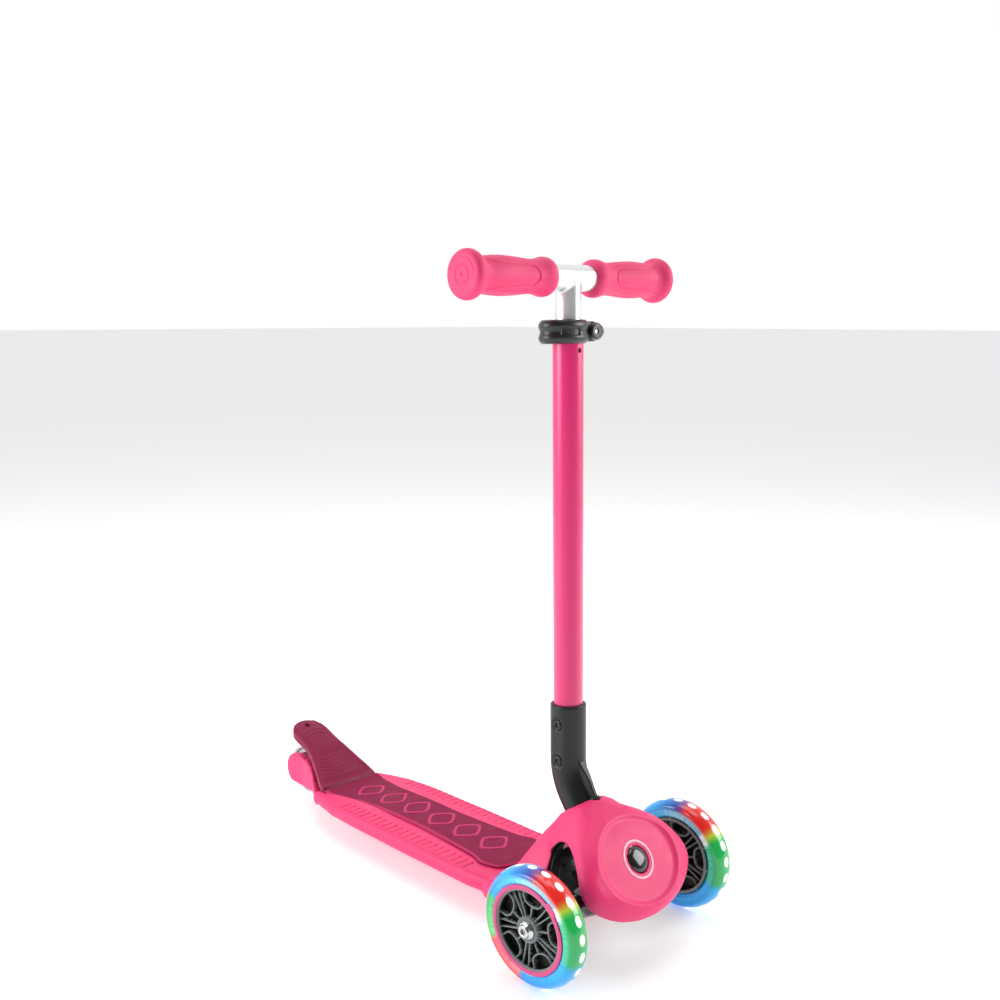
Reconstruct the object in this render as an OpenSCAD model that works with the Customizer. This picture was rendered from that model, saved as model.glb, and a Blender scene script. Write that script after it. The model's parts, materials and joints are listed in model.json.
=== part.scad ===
// Three-wheel kick scooter for a small child. It steers by leaning, folds at the neck and has a
// height-adjustable handlebar. Millimetres. +X is the rider's left, -Y is forward, +Z is up, and the
// origin is on the floor, halfway between the foremost and the rearmost tyre.

/* [Wheels] */
// Outer diameter of a front tyre
front_wheel_d = 121; // [117:1:124]
// Width of a front tyre
front_tyre_w = 25.4; // [24.2:0.2:27]
// Distance between the middles of the front wheels
track = 230.5; // [228:0.5:244]
// Outer diameter of the rear tyre
rear_wheel_d = 80; // [76:1:82]
// Width of the rear tyre
rear_tyre_w = 24.7; // [24:0.1:26]
// Distance from the front axle to the rear axle
wheelbase = 515; // [490:1:560]
// Shank diameter of all three axle bolts
axle_d = 8; // [7:0.5:8]
// Outer diameter of a wheel bearing
bearing_d = 22; // [20:0.5:24]
// Width of a wheel bearing
bearing_w = 7; // [6:0.5:8]
// Number of spoke ribs in a front wheel
spoke_count = 10; // [6:1:12]

/* [Deck] */
// Width of the deck at its widest
deck_w = 136; // [126:1:146]
// Height of the deck's upper face above the floor
deck_top = 46; // [44:1:49]
// Height of the deck's lower edge above the floor
deck_bottom = 27; // [25:1:29]
// Wall thickness of the ribbed deck moulding
deck_wall = 4; // [3:0.5:5]
// Thickness of the grip mat
mat_t = 4; // [3:0.5:5]
// Width of the grip mat at the middle of the deck
mat_w = 63; // [56:1:70]
// Width of the grip mat at its front edge
mat_front_w = 80; // [74:1:88]
// Number of grooves across each side strip of the deck
groove_count = 24; // [12:1:26]

/* [Brake] */
// Thickness of the rear brake fender
fender_t = 5; // [4:0.5:6]
// Free space between the tyre and the fender with the brake off
brake_gap = 3.5; // [3.3:0.1:5]
// Diameter of the brake's hinge pin
brake_pin_d = 5; // [4:0.5:6]
// Diameter of the hanging hole in the fender's tip
hang_hole_d = 7; // [5:0.5:8]

/* [Neck and steering] */
// Angle of the steering axis above the horizontal
rake = 35; // [34:0.5:36]
// Diameter of the kingpin
kingpin_d = 10; // [8:0.5:11]
// Width of the nose hood
hood_w = 171; // [164:1:173]
// Height of the nose hood along its sloping face
hood_h = 111; // [107:1:114]
// Wall thickness of the hood and the neck
shell_t = 3.5; // [2.5:0.5:4]
// Diameter of the push button in the nose
button_d = 27.4; // [25:0.2:29]
// Travel of the push button
button_travel = 5; // [4:0.5:5.5]

/* [Steering column] */
// Height of the handlebar's axis above the floor, at its lowest setting
bar_height = 665; // [655:1:700]
// Backward lean of the column
lean = 1.8; // [1.2:0.1:2.6]
// Distance from the fold pivot to the elbow's bend
leg_length = 51.5; // [49:0.5:54]
// Diameter of the elbow casting
elbow_d = 37; // [36:0.5:38]
// Depth of the tube socket above the elbow's bend
socket_h = 79; // [74:1:86]
// Diameter of the fold pivot pin
pivot_pin_d = 10; // [8:0.5:11]
// Outer diameter of the lower column tube
tube_d = 30.2; // [29.8:0.1:30.8]
// Wall thickness of the lower column tube
tube_wall = 1.7; // [1.4:0.1:1.8]
// Distance from the lower tube's top up to the handlebar's axis, at the lowest setting
bar_clear = 40.6; // [36:0.2:50]

/* [Handlebar] */
// Width over both grips
bar_width = 278; // [272:1:300]
// Outer diameter of the sliding tube and the crossbar
bar_d = 25; // [24:0.1:25.2]
// Wall thickness of the sliding tube and the crossbar
bar_wall = 1.6; // [1.2:0.1:2]
// How far the handlebar can be raised
bar_raise = 172; // [150:1:180]
// Length of a grip
grip_length = 110; // [100:1:116]
// Diameter of a grip's end disc
grip_end_d = 44.6; // [41:0.2:48]
// Diameter of a grip at the fullest part of the palm
palm_d = 36; // [34:0.5:38]
// Height of the clamp collar
clamp_h = 25; // [23:1:27]
// Outer diameter of the clamp collar
clamp_d = 40; // [39:0.5:42]

/* [Hidden] */

$fn = 64;
blend_fn = 32;
eps = 0.01;
fit = 0.05;      // radial clearance of a running or seated fit
play = 0.3;      // clearance between cast or soft faces on different bodies
screw_d = 5;     // shank of the small screws
hub_web = 7.8;   // distance between the two bearings of a wheel

// Radii and places that follow from the sizes above
front_r = front_wheel_d/2;
rear_r = rear_wheel_d/2;
ahead = (wheelbase + rear_r - front_r)/2;

// Frame on the steering axis, origin on the front axle: +Z out of the nose, +Y up and back
module steer_frame() {
    at_front_axle() translate([0, 0, front_r]) rotate([90 - rake, 0, 0]) children();
}

// A point of the steering frame, as distance behind the front axle and height above the floor
function steer_back(up, out) = up*sin(rake) - out*cos(rake);
function steer_height(up, out) = front_r + up*cos(rake) + out*sin(rake);

// Turns from the floor point under the front axle into the part's own frame
module at_front_axle() {
    translate([0, -ahead, 0]) children();
}

// A rod or bore along X, centred
module x_rod(r, h) {
    rotate([0, 90, 0]) cylinder(r = r, h = h, center = true);
}

module tube(outer_r, inner_r, h) {
    difference() {
        cylinder(r = outer_r, h = h);
        translate([0, 0, -1]) cylinder(r = inner_r, h = h + 2);
    }
}

// A side outline in Y and Z, extruded evenly to both sides along X
module side_plate(points, w) {
    translate([-w/2, 0, 0]) rotate([90, 0, 90]) linear_extrude(w) polygon(points);
}

// A box given by its X half-width and its Y and Z limits
module block(half_w, y0, y1, z0, z1) {
    translate([-half_w, y0, z0]) cube([2*half_w, y1 - y0, z1 - z0]);
}

function mirrored(points) = concat(points,
    [for (i = [len(points) - 1:-1:0]) [-points[i].x, points[i].y]]);

// Points of an arc about a centre, from one angle to another
function arc(c, r, a0, a1, n = 8) = [
    for (i = [0:n]) c + r*[cos(a0 + (a1 - a0)*i/n), sin(a0 + (a1 - a0)*i/n)]
];

// ---------------------------------------------------------------- deck and mat

deck_front = 100;                        // front edge of the standing part
deck_rear = wheelbase - 70;              // where the deck narrows into the fork arms
crown_start = 300;                       // the deck is flat ahead of this line
crown_drop = 9;                          // how far the deck has sunk at its rear edge
crown_run = deck_rear - crown_start;
crown_r = (crown_run*crown_run + crown_drop*crown_drop)/(2*crown_drop);
half_deck = deck_w/2;

hinge_back = wheelbase - 77;             // brake hinge, behind the front axle
hinge_up = rear_r - 8;
brake_cheek = 44;                        // half of the gap that takes the brake's root
arm_gap = rear_tyre_w/2 + 3;             // from the middle to a fork arm's inner face
arm_t = 8;
arm_r = 22;
arm_out = arm_gap + arm_t;
bolt_sink = 3.5;                         // depth of the axle bolt's counterbores

bracket_w = 34;
foot_t = 8;                              // thickness of the bracket's foot under the deck
foot_rear = deck_front + 32;
foot_bottom = deck_bottom + 3;
foot_screws = [
    [-11, deck_front + 10], [11, deck_front + 10], [-11, deck_front + 24], [11, deck_front + 24]
];

// Half of the deck's plan, from front to rear
function deck_plan() = [
    [half_deck - 12, deck_front], [half_deck - 2, deck_front + 8], [half_deck, deck_front + 50],
    [half_deck - 1, deck_rear - 95], [half_deck - 4, deck_rear - 55], [half_deck - 9, deck_rear - 25],
    [half_deck - 15, deck_rear]
];

// Plan of one fork arm, which starts at the deck's side and closes in round the wheel
function arm_plan() = [
    [half_deck - 9, deck_rear - 25], [half_deck - 15, deck_rear], [arm_out + 16.5, deck_rear + 18],
    [arm_out + 3, deck_rear + 42], [arm_out, deck_rear + 60], [arm_out, wheelbase + 60],
    [arm_gap, wheelbase + 60], [arm_gap, wheelbase - 40], [arm_gap + 15, wheelbase - 56],
    [brake_cheek, hinge_back + 4], [brake_cheek, deck_rear - 25]
];

// Side outline of the deck between two heights that both follow its crown
function crowned(front, low, high) = concat(
    [[front, low], [front, high]],
    arc([crown_start, high - crown_r], crown_r, 90, 90 - asin(crown_run/crown_r)),
    [[deck_rear, low]]
);

// Half of the mat's plan, from front to rear
function mat_plan() = [
    [mat_front_w/2 - 14, deck_front + 19], [mat_front_w/2, deck_front + 29],
    [mat_front_w/2 + 4, deck_front + 45], [mat_w/2 + 7, deck_front + 63],
    [mat_w/2 + 1, deck_front + 128], [mat_w/2, deck_front + 190], [mat_w/2 + 2, deck_rear - 74],
    [mat_w/2 + 8, deck_rear - 40], [mat_w/2 + 12, deck_rear - 15]
];

groove_first = deck_front + 52;
groove_pitch = (deck_rear - 62 - groove_first)/(groove_count - 1);
cell_pitch = (deck_rear - 40 - foot_rear)/7;

module deck_body() {
    difference() {
        intersection() {
            translate([0, 0, deck_bottom - 5]) linear_extrude(40) polygon(mirrored(deck_plan()));
            side_plate(crowned(deck_front, deck_bottom, deck_top), deck_w + 2);
        }
        // Cells between the ribs on the underside
        for (i = [0:6], side = [-1, 1])
            translate([side*(half_deck - 8)/2, foot_rear + 4 + (i + 0.5)*cell_pitch, 0])
                linear_extrude(deck_top - deck_wall - (i > 4 ? crown_drop : 1))
                    square([half_deck - 16, cell_pitch - deck_wall], center = true);
        // Grooves across both side strips
        for (i = [0:groove_count - 1], side = [-1, 1])
            translate([side*(half_deck - 18) - 9, groove_first + i*groove_pitch, deck_top - 0.8])
                cube([18, 3, 4]);
    }
}

module fork_arms() {
    for (side = [-1, 1]) {
        intersection() {
            linear_extrude(2*arm_r + rear_r) polygon([for (p = arm_plan()) [side*p.x, p.y]]);
            translate([-half_deck, 0, 0]) rotate([90, 0, 90]) linear_extrude(deck_w) hull() {
                translate([wheelbase + 3, rear_r + 1]) circle(r = arm_r, $fn = blend_fn);
                translate([deck_rear - 20, deck_bottom]) square([24, deck_top - crown_drop - deck_bottom]);
            }
        }
        // Inner boss that meets the rear wheel's bearing
        translate([side*(arm_gap - boss_in/2 + eps), wheelbase, rear_r]) x_rod(axle_d/2 + 2.5, boss_in);
        // Lug of the brake's hinge pin
        translate([side*(brake_cheek + 3), hinge_back, hinge_up]) x_rod(6, 6);
    }
}

bearing_out = hub_web/2 + bearing_w;     // outer face of a bearing, from the wheel's middle
boss_in = arm_gap - bearing_out - 0.2;

module deck() {
    color("deeppink") at_front_axle() difference() {
        union() {
            deck_body();
            fork_arms();
        }
        // Room for the brake's root and its knuckle
        block(brake_cheek, hinge_back - 9, hinge_back + 7, 0, 100);
        translate([0, hinge_back, hinge_up]) x_rod(brake_pin_d/2 + fit, 2*brake_cheek + 30);
        // Axle hole, with counterbores that hold the bolt's head and nut flush
        translate([0, wheelbase, rear_r]) {
            x_rod(axle_d/2 + fit, 100);
            for (side = [-1, 1])
                translate([side*(arm_out + 10 - bolt_sink), 0, 0]) x_rod(axle_d/2 + 3.2, 20);
        }
        // Recess and screw holes for the steering bracket's foot
        block(bracket_w/2 + play, 0, foot_rear + play, 0, foot_bottom + foot_t);
        for (p = foot_screws) translate([p.x, p.y, 0]) cylinder(d = screw_d + 2*eps, h = deck_top - 1.5);
    }
}

module deck_mat() {
    color("mediumvioletred") at_front_axle() difference() {
        intersection() {
            translate([0, 0, deck_top - 30]) linear_extrude(60) polygon(mirrored(mat_plan()));
            side_plate(crowned(deck_front, deck_top - 30, deck_top + mat_t), deck_w);
        }
        side_plate(crowned(deck_front - 2, deck_top - 60, deck_top), deck_w + 2);
        block(half_deck, deck_rear - 1, wheelbase, 0, 100);
        block(brake_cheek + 2, hinge_back - 9, wheelbase, 0, 100);
    }
}

// ---------------------------------------------------------------- steering bracket and kingpin

pivot_up = 70;                          // fold pivot in the steering frame
pivot_out = 8;
elbow_r = elbow_d/2;
foot_r = elbow_r - 1.5;                 // round foot of the elbow, about the pivot
hub_r = 21;                             // truck's hub about the kingpin
hub_half = 20;
lug_in = hub_half + 2;
lug_out = lug_in + 10;
bridge_low = 30;                        // underside of the bridge over the truck
bridge_high = 41;
ear_in = elbow_d/2 + 0.7;               // inner faces of the fold pivot's ears
ear_out = ear_in + 4;
hood_up = 16.6;                         // the hood's middle lies above the steering axis
hood_rim = 37;                          // rear edge of the hood's rim, out from the axle
hood_face = 52;                         // face of the hood
hood_screw_x = 28;
hood_screw_up = 35;

module steering_bracket() {
    color("dimgray") difference() {
        union() {
            steer_frame() {
                // Front and rear lugs of the kingpin
                translate([0, 0, lug_in]) cylinder(r = 15, h = lug_out - lug_in);
                translate([0, 0, -lug_out]) cylinder(r = 15, h = lug_out - lug_in);
                block(15, 0, bridge_high, lug_in, lug_out);
                block(15, 0, bridge_high, -lug_out, -lug_in);
                // Bridge over the truck
                block(ear_out, bridge_low, bridge_high, -lug_out, lug_out);
                // Ears of the fold pivot
                for (side = [-1, 1]) translate([side*(ear_in + ear_out)/2, 0, 0]) {
                    translate([0, pivot_up, pivot_out]) x_rod(12, ear_out - ear_in);
                    block((ear_out - ear_in)/2, bridge_low, pivot_up, pivot_out - 12, pivot_out + 12);
                }
                // Ledge for the hood's two screws
                block(hood_screw_x + 6, bridge_low, bridge_high, lug_out - 4, lug_out);
            }
            // Foot under the deck
            at_front_axle()
                block(bracket_w/2, steer_back(0, -lug_in), foot_rear, foot_bottom, foot_bottom + foot_t);
        }
        steer_frame() {
            cylinder(d = kingpin_d + 2*fit, h = 200, center = true);
            // Room for the kingpin's nut
            translate([0, 0, -lug_out - 40]) cylinder(r = kingpin_d/2 + 6.5, h = 40);
            // Room for the truck's hub
            translate([0, 0, -lug_in]) cylinder(r = hub_r + 4, h = 2*lug_in);
            for (side = [-1, 1]) translate([side*hood_screw_x, hood_screw_up, lug_out - 10])
                cylinder(d = screw_d + 2*fit, h = 20);
            translate([0, pivot_up, pivot_out]) x_rod(pivot_pin_d/2 + fit, 100);
        }
        at_front_axle() for (p = foot_screws)
            translate([p.x, p.y, 0]) cylinder(d = screw_d + 2*fit, h = 60);
    }
}

module kingpin() {
    color("silver") steer_frame() {
        translate([0, 0, -lug_out - 9]) cylinder(d = kingpin_d, h = 2*lug_out + 9);
        translate([0, 0, lug_out]) cylinder(r = kingpin_d/2 + 3, h = 3);
    }
}

module kingpin_nut() {
    color("silver") steer_frame() translate([0, 0, -lug_out - 7]) difference() {
        cylinder(r = kingpin_d/2 + 4, h = 7, $fn = 6);
        translate([0, 0, -1]) cylinder(d = kingpin_d + 2*eps, h = 9);
    }
}

// Rubber torsion bushes between the truck and the lugs, which bring the steering back to straight
module steering_bushes() {
    color("black") steer_frame() for (side = [-1, 1])
        translate([0, 0, side*(hub_half + 1) - 0.9]) tube(14, kingpin_d/2 + fit, 1.8);
}

module bracket_screws() {
    color("silver") at_front_axle() for (p = foot_screws) translate([p.x, p.y, 0]) {
        translate([0, 0, foot_bottom]) cylinder(d = screw_d, h = deck_top - 3 - foot_bottom);
        translate([0, 0, foot_bottom - 2.5]) cylinder(d = 2*screw_d - 1, h = 2.5);
    }
}

module hood_screws() {
    color("dimgray") steer_frame() for (side = [-1, 1])
        translate([side*hood_screw_x, hood_screw_up, lug_out - 7]) {
            cylinder(d = screw_d, h = hood_rim - lug_out + 12);
            cylinder(d = 2*screw_d - 1, h = 3);
        }
}

module pivot_pin() {
    color("silver") steer_frame() translate([0, pivot_up, pivot_out]) x_rod(pivot_pin_d/2, 2*ear_out);
}

// ---------------------------------------------------------------- neck and nose

collar_up = 88.5;                       // rim of the collar in the steering frame
collar_in = elbow_d/2 + 0.6;
collar_r = collar_in + 2.4;
neck_front = 30;                        // where the neck meets the hood's roof
skin_in = ear_out + play;               // inner face of the neck beside the ears

// Side outline of the arch under the neck, in the steering frame
neck_arch = [
    [-100, -90], [10, -90], [34, -56], [45, -36], [56, -21], [59, -6], [48, 3], [45, 60], [-100, 60]
];

module neck_shell() {
    color("hotpink") difference() {
        hull() {
            steer_frame() {
                translate([0, collar_up - 3, pivot_out]) rotate([-90, 0, 0])
                    cylinder(r = collar_r, h = 3, $fn = blend_fn);
                block(14, collar_up - 12, collar_up - 1, pivot_out, neck_front);
                block(skin_in + shell_t, pivot_up - 12, pivot_up + 4, pivot_out - 30, neck_front);
            }
            at_front_axle()
                block(half_deck - 14, deck_front - 22, deck_front - eps, deck_bottom + 6, deck_top);
        }
        steer_frame() {
            // Opening for the elbow, and the slot in which it folds
            translate([0, 30, pivot_out]) rotate([-90, 0, 0]) cylinder(r = collar_in, h = 100);
            block(collar_in, pivot_up - elbow_d/2 - 1, 200, -200, pivot_out);
            // Room for the bracket's ears, and for the latch below the pivot
            block(skin_in, bridge_low, pivot_up + 13, pivot_out - 13, neck_front + 1);
            block(skin_in, -100, pivot_up - elbow_d/2, -lug_out - 1, neck_front + 1);
            // Arch over the truck, open to both sides and below
            side_plate(neck_arch, 300);
        }
        at_front_axle() block(bracket_w/2 + play, 0, foot_rear, 0, foot_bottom + foot_t + play);
    }
}

// Oval block on the hood's axis; the inset gives the space inside it
module hood_oval(inset) {
    translate([0, hood_up, 0]) hull() {
        translate([0, 0, hood_rim]) scale([hood_w/2 - inset, hood_h/2 - inset, 1])
            cylinder(r = 1, h = 8, $fn = 2*blend_fn);
        translate([0, 0, hood_rim]) scale([hood_w/2 - inset - 9, hood_h/2 - inset - 7, 1])
            cylinder(r = 1, h = hood_face - hood_rim - inset, $fn = 2*blend_fn);
    }
}

// Roof that rises from the hood's rim to the neck's collar
module hood_roof(inset) {
    hull() {
        translate([0, hood_up, hood_rim - 1]) intersection() {
            scale([hood_w/2 - inset - 4, hood_h/2 - inset, 1]) cylinder(r = 1, h = 4, $fn = 2*blend_fn);
            block(100, 26, 100, -1, 6);
        }
        block(14 - inset/2, collar_up - 20, collar_up - 1 - inset, neck_front + play, hood_rim + 5 - inset);
        block(skin_in + shell_t - inset, pivot_up - 12, pivot_up + 4 - inset, neck_front + play, hood_rim);
    }
}

module nose_hood() {
    color("hotpink") steer_frame() difference() {
        union() {
            difference() {
                union() {
                    hood_oval(0);
                    hood_roof(0);
                }
                translate([0, 0, -eps]) hood_oval(shell_t);
                translate([0, 0, -eps]) hood_roof(shell_t);
            }
            // Guide of the push button, and bosses of the two screws
            translate([0, hood_up, button_back]) cylinder(r = button_d/2 + 3, h = hood_face - button_back);
            for (side = [-1, 1]) translate([side*hood_screw_x, hood_screw_up, lug_out])
                cylinder(d = screw_d + 6, h = hood_face - lug_out - 2);
        }
        // Oval groove round the middle of the face
        translate([0, hood_up, hood_face - 0.6]) difference() {
            scale([55.4, 46.6, 1]) cylinder(r = 1, h = 4, $fn = 2*blend_fn);
            translate([0, 0, -1]) scale([47.5, 37.5, 1]) cylinder(r = 1, h = 6, $fn = 2*blend_fn);
        }
        translate([0, hood_up, 0]) cylinder(r = button_d/2 + fit, h = 100);
        for (side = [-1, 1]) translate([side*hood_screw_x, hood_screw_up, 0])
            cylinder(d = screw_d + 2*eps, h = hood_rim + 6);
    }
}

// ---------------------------------------------------------------- push button and latch

plate_t = 2;
latch_s = lug_out + button_travel + 1.5;   // rear face of the latch plate
button_back = latch_s + plate_t + 3;
latch_pin_r = 2;
latch_pin_up = pivot_up - foot_r - play - latch_pin_r;   // just under the elbow's foot
latch_pin_out = pivot_out + button_travel + 1;
latch_heel = 2.7;                       // material behind the latch pin

module push_button() {
    color("black") steer_frame() translate([0, hood_up, 0]) {
        translate([0, 0, button_back + 1]) cylinder(d = button_d, h = hood_face - button_back - 1);
        translate([0, 0, latch_s + plate_t]) cylinder(r = 5, h = button_back + 1 - latch_s - plate_t);
        translate([0, 0, hood_face]) intersection() {
            translate([0, 0, 3 - button_d]) sphere(r = button_d);
            cylinder(d = button_d, h = 4);
        }
    }
}

module latch_plate() {
    color("silver") steer_frame() difference() {
        union() {
            block(6, hood_up - 6, latch_pin_up + 2, latch_s, latch_s + plate_t);
            block(6, latch_pin_up - 2, latch_pin_up + 2, latch_pin_out - latch_heel, latch_s + plate_t);
        }
        translate([0, latch_pin_up, latch_pin_out]) x_rod(latch_pin_r - 1 + eps, 20);
    }
}

module latch_pin() {
    color("silver") steer_frame() translate([0, latch_pin_up, latch_pin_out]) {
        x_rod(latch_pin_r - 1, 12);
        for (side = [-1, 1]) translate([side*9, 0, 0]) x_rod(latch_pin_r, 6);
    }
}

// Compressed coil between the front lug and the latch plate
module button_spring() {
    color("silver") steer_frame() translate([0, hood_up, lug_out]) rotate_extrude()
        for (i = [0:4]) translate([5, 0.7 + i*(latch_s - lug_out - 1.4)/4]) circle(r = 0.7, $fn = 16);
}

// ---------------------------------------------------------------- truck

truck_half = 50;
arm_end = track/2 - bearing_out - 3;    // outer end of the truck's axle arm
truck_low = -20;
truck_high = 20;

module truck() {
    color("black") difference() {
        steer_frame() {
            translate([0, 0, -hub_half]) cylinder(r = hub_r, h = 2*hub_half);
            block(truck_half, truck_low, truck_high, -16, 16);
            x_rod(11, 2*arm_end);
        }
        steer_frame() cylinder(d = kingpin_d + 2*fit, h = 200, center = true);
        for (side = [-1, 1]) at_front_axle() translate([side*(arm_end - 20), 0, front_r])
            x_rod(axle_d/2 + fit, 60);
    }
}

// ---------------------------------------------------------------- front wheels

// Frame on a front wheel's axis, with +Z pointing away from the scooter
module front_wheel_frame(side) {
    at_front_axle() translate([side*track/2, 0, front_r]) rotate([0, side*90, 0]) children();
}

rim_r = 43;                             // seat of a front tyre
rim_half = front_tyre_w/2 - 2.3;
trim_r = rim_r + 2.1;
boss_r = bearing_d/2 + 2.5;
light_half = 5;
light_r = rim_r + 7;

// Seats of the two bearings, open outwards
module bearing_seats() {
    for (end = [-1, 1]) translate([0, 0, end > 0 ? hub_web/2 : -50])
        cylinder(d = bearing_d, h = 50 - hub_web/2);
}

module front_hub(side) {
    color("dimgray") front_wheel_frame(side) difference() {
        union() {
            translate([0, 0, -rim_half]) tube(rim_r, rim_r - 5.5, 2*rim_half);
            translate([0, 0, -bearing_out - 1]) cylinder(r = boss_r, h = 2*bearing_out + 2);
            translate([0, 0, -4]) tube(rim_r - 5, boss_r - 1, 4);
            for (i = [0:spoke_count - 1]) rotate([0, 0, i*360/spoke_count])
                translate([boss_r - 1, -1, -1]) cube([rim_r - boss_r - 4, 2, rim_half - 1.5]);
        }
        translate([0, 0, -50]) cylinder(r = bearing_d/2 - 2, h = 100);
        bearing_seats();
    }
}

// Tyre section with a rounded crown and a hollow for the light ring
module tyre_section(r, seat_r, half_w, shoulder) {
    polygon(concat(
        [[seat_r, -half_w + 2.3], [seat_r + 2.3, -half_w + 2.3], [seat_r + 3.3, -half_w]],
        [for (i = [0:12]) [r - shoulder + shoulder*sin(i*15), -half_w*cos(i*15)]],
        [[seat_r + 3.3, half_w], [seat_r + 2.3, half_w - 2.3], [seat_r, half_w - 2.3]]
    ));
}

module front_tyre(side) {
    color("lightskyblue") front_wheel_frame(side) rotate_extrude($fn = 96) difference() {
        tyre_section(front_r, rim_r, front_tyre_w/2, 7);
        translate([rim_r - 1, -light_half - fit]) square([light_r - rim_r + 1 + fit, 2*light_half + 2*fit]);
    }
}

module trim_ring(side) {
    color("deeppink") front_wheel_frame(side) translate([0, 0, rim_half]) tube(trim_r, rim_r - 2.5, 2.3);
}

module light_ring(side) {
    color("silver") front_wheel_frame(side) translate([0, 0, -light_half])
        tube(light_r, rim_r + fit, 2*light_half);
}

module bearing_pair() {
    for (end = [-1, 1]) translate([0, 0, end > 0 ? hub_web/2 : -bearing_out])
        tube(bearing_d/2, axle_d/2 + fit, bearing_w);
}

module bearing_sleeve() {
    translate([0, 0, 0.1 - hub_web/2]) tube(axle_d/2 + 2.5, axle_d/2 + fit, hub_web - 0.2);
}

module front_axle_bolts() {
    color("silver") for (side = [-1, 1]) front_wheel_frame(side) {
        translate([0, 0, arm_end - track/2 - 40])
            cylinder(d = axle_d, h = track/2 - arm_end + 40 + bearing_out + 3);
        translate([0, 0, bearing_out + 0.1]) cylinder(d = axle_d + 4, h = 1.3);
        translate([0, 0, bearing_out + 1.4]) cylinder(r = 9, h = 1.8);
        translate([0, 0, bearing_out + 3.2]) cylinder(r = 6.5, h = 3.6, $fn = 6);
    }
}

module axle_spacers() {
    color("silver") for (side = [-1, 1]) front_wheel_frame(side)
        translate([0, 0, arm_end - track/2]) tube(axle_d/2 + 2.5, axle_d/2 + fit, 2.9);
}

// ---------------------------------------------------------------- rear wheel

// Frame on the rear axle, with +Z to the rider's left
module rear_wheel_frame() {
    at_front_axle() translate([0, wheelbase, rear_r]) rotate([0, 90, 0]) children();
}

rear_rim_r = 27;
rear_rim_half = rear_tyre_w/2 - 2.3;

module rear_hub() {
    color("dimgray") rear_wheel_frame() difference() {
        union() {
            translate([0, 0, -rear_rim_half]) tube(rear_rim_r, rear_rim_r - 4, 2*rear_rim_half);
            translate([0, 0, -bearing_out]) cylinder(r = boss_r, h = 2*bearing_out);
            translate([0, 0, -3]) tube(rear_rim_r - 3, boss_r - 1, 6);
        }
        translate([0, 0, -50]) cylinder(r = bearing_d/2 - 2, h = 100);
        bearing_seats();
    }
}

module rear_tyre() {
    color("gainsboro") rear_wheel_frame() rotate_extrude($fn = 96)
        tyre_section(rear_r, rear_rim_r, rear_tyre_w/2, 6);
}

module rear_axle_bolt() {
    color("silver") rear_wheel_frame() {
        translate([0, 0, -arm_out + bolt_sink - 3]) cylinder(r = axle_d/2 + 2.5, h = 3);
        translate([0, 0, -arm_out + bolt_sink]) cylinder(d = axle_d, h = 2*arm_out - bolt_sink - 0.5);
    }
}

module rear_axle_nut() {
    color("silver") rear_wheel_frame() translate([0, 0, arm_out - bolt_sink]) difference() {
        cylinder(r = axle_d/2 + 2.8, h = 3, $fn = 6);
        translate([0, 0, -1]) cylinder(d = axle_d + 2*eps, h = 5);
    }
}

// ---------------------------------------------------------------- brake

knuckle_r = brake_pin_d/2 + 2.7;
under_r = rear_r + brake_gap;            // fender's underside where it hugs the tyre

// Points on the fender's underside, about the rear axle, from its root to its tip
function fender_line(grow) = [
    [hinge_back - wheelbase - 5, hinge_up - rear_r + 2 + 1.0*grow],
    [-67 - 0.6*grow, 9 + 0.8*grow],
    (under_r + 7.5 + grow)*[cos(149), sin(149)],
    (under_r + 1.5 + grow)*[cos(130), sin(130)],
    (under_r + grow)*[cos(108), sin(108)],
    (under_r + 4 + grow)*[cos(90), sin(90)],
    (under_r + 9 + grow)*[cos(78), sin(78)],
    (under_r + 14.5 + grow)*[cos(69), sin(69)]
];
tip_back = (under_r + 14.5)*cos(69);

// Half of the fender's plan about the rear axle, from its root to its rounded tip
function fender_plan() = concat(
    [[brake_cheek - 1, hinge_back - wheelbase - 8], [brake_cheek - 1, -75], [brake_cheek - 5, -68],
     [33, -55], [28, -40], [25, -25], [24, -5], [22, 8]],
    [for (i = [1:6]) [22*cos(i*15), 8 + (tip_back - 8)*sin(i*15)]]
);

// The fender is split at this angle about the rear axle, into its tail and its hinged root
fender_split = 125;

module fender_half_space(root) {
    rotate([fender_split, 0, 0]) translate([-100, -50, root ? play/2 : -200 - play/2]) cube([200, 250, 200]);
}

module fender_blank() {
    intersection() {
        translate([0, 0, -20]) linear_extrude(120) polygon(mirrored(fender_plan()));
        side_plate(concat(fender_line(fender_t), [for (i = [7:-1:0]) fender_line(0)[i]]), 120);
    }
}

module brake_fender() {
    color("mediumvioletred") at_front_axle() translate([0, wheelbase, rear_r]) difference() {
        intersection() {
            fender_blank();
            fender_half_space(false);
        }
        translate([0, under_r*cos(75) + 1, 0]) cylinder(d = hang_hole_d, h = 200);
    }
}

module brake_root() {
    color("mediumvioletred") at_front_axle() translate([0, wheelbase, rear_r]) difference() {
        union() {
            intersection() {
                fender_blank();
                fender_half_space(true);
            }
            translate([0, hinge_back - wheelbase, hinge_up - rear_r]) {
                x_rod(knuckle_r, 2*brake_cheek - 2);
                block(brake_cheek - 1, -3, 4, 0, 7);
            }
        }
        translate([0, hinge_back - wheelbase, hinge_up - rear_r]) {
            x_rod(brake_pin_d/2 + fit, 200);
            // Gap in the knuckle for the return spring
            x_rod(knuckle_r + 1, 16);
        }
    }
}

module brake_pin() {
    color("silver") at_front_axle() translate([0, hinge_back, hinge_up])
        x_rod(brake_pin_d/2, 2*brake_cheek + 11);
}

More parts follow.
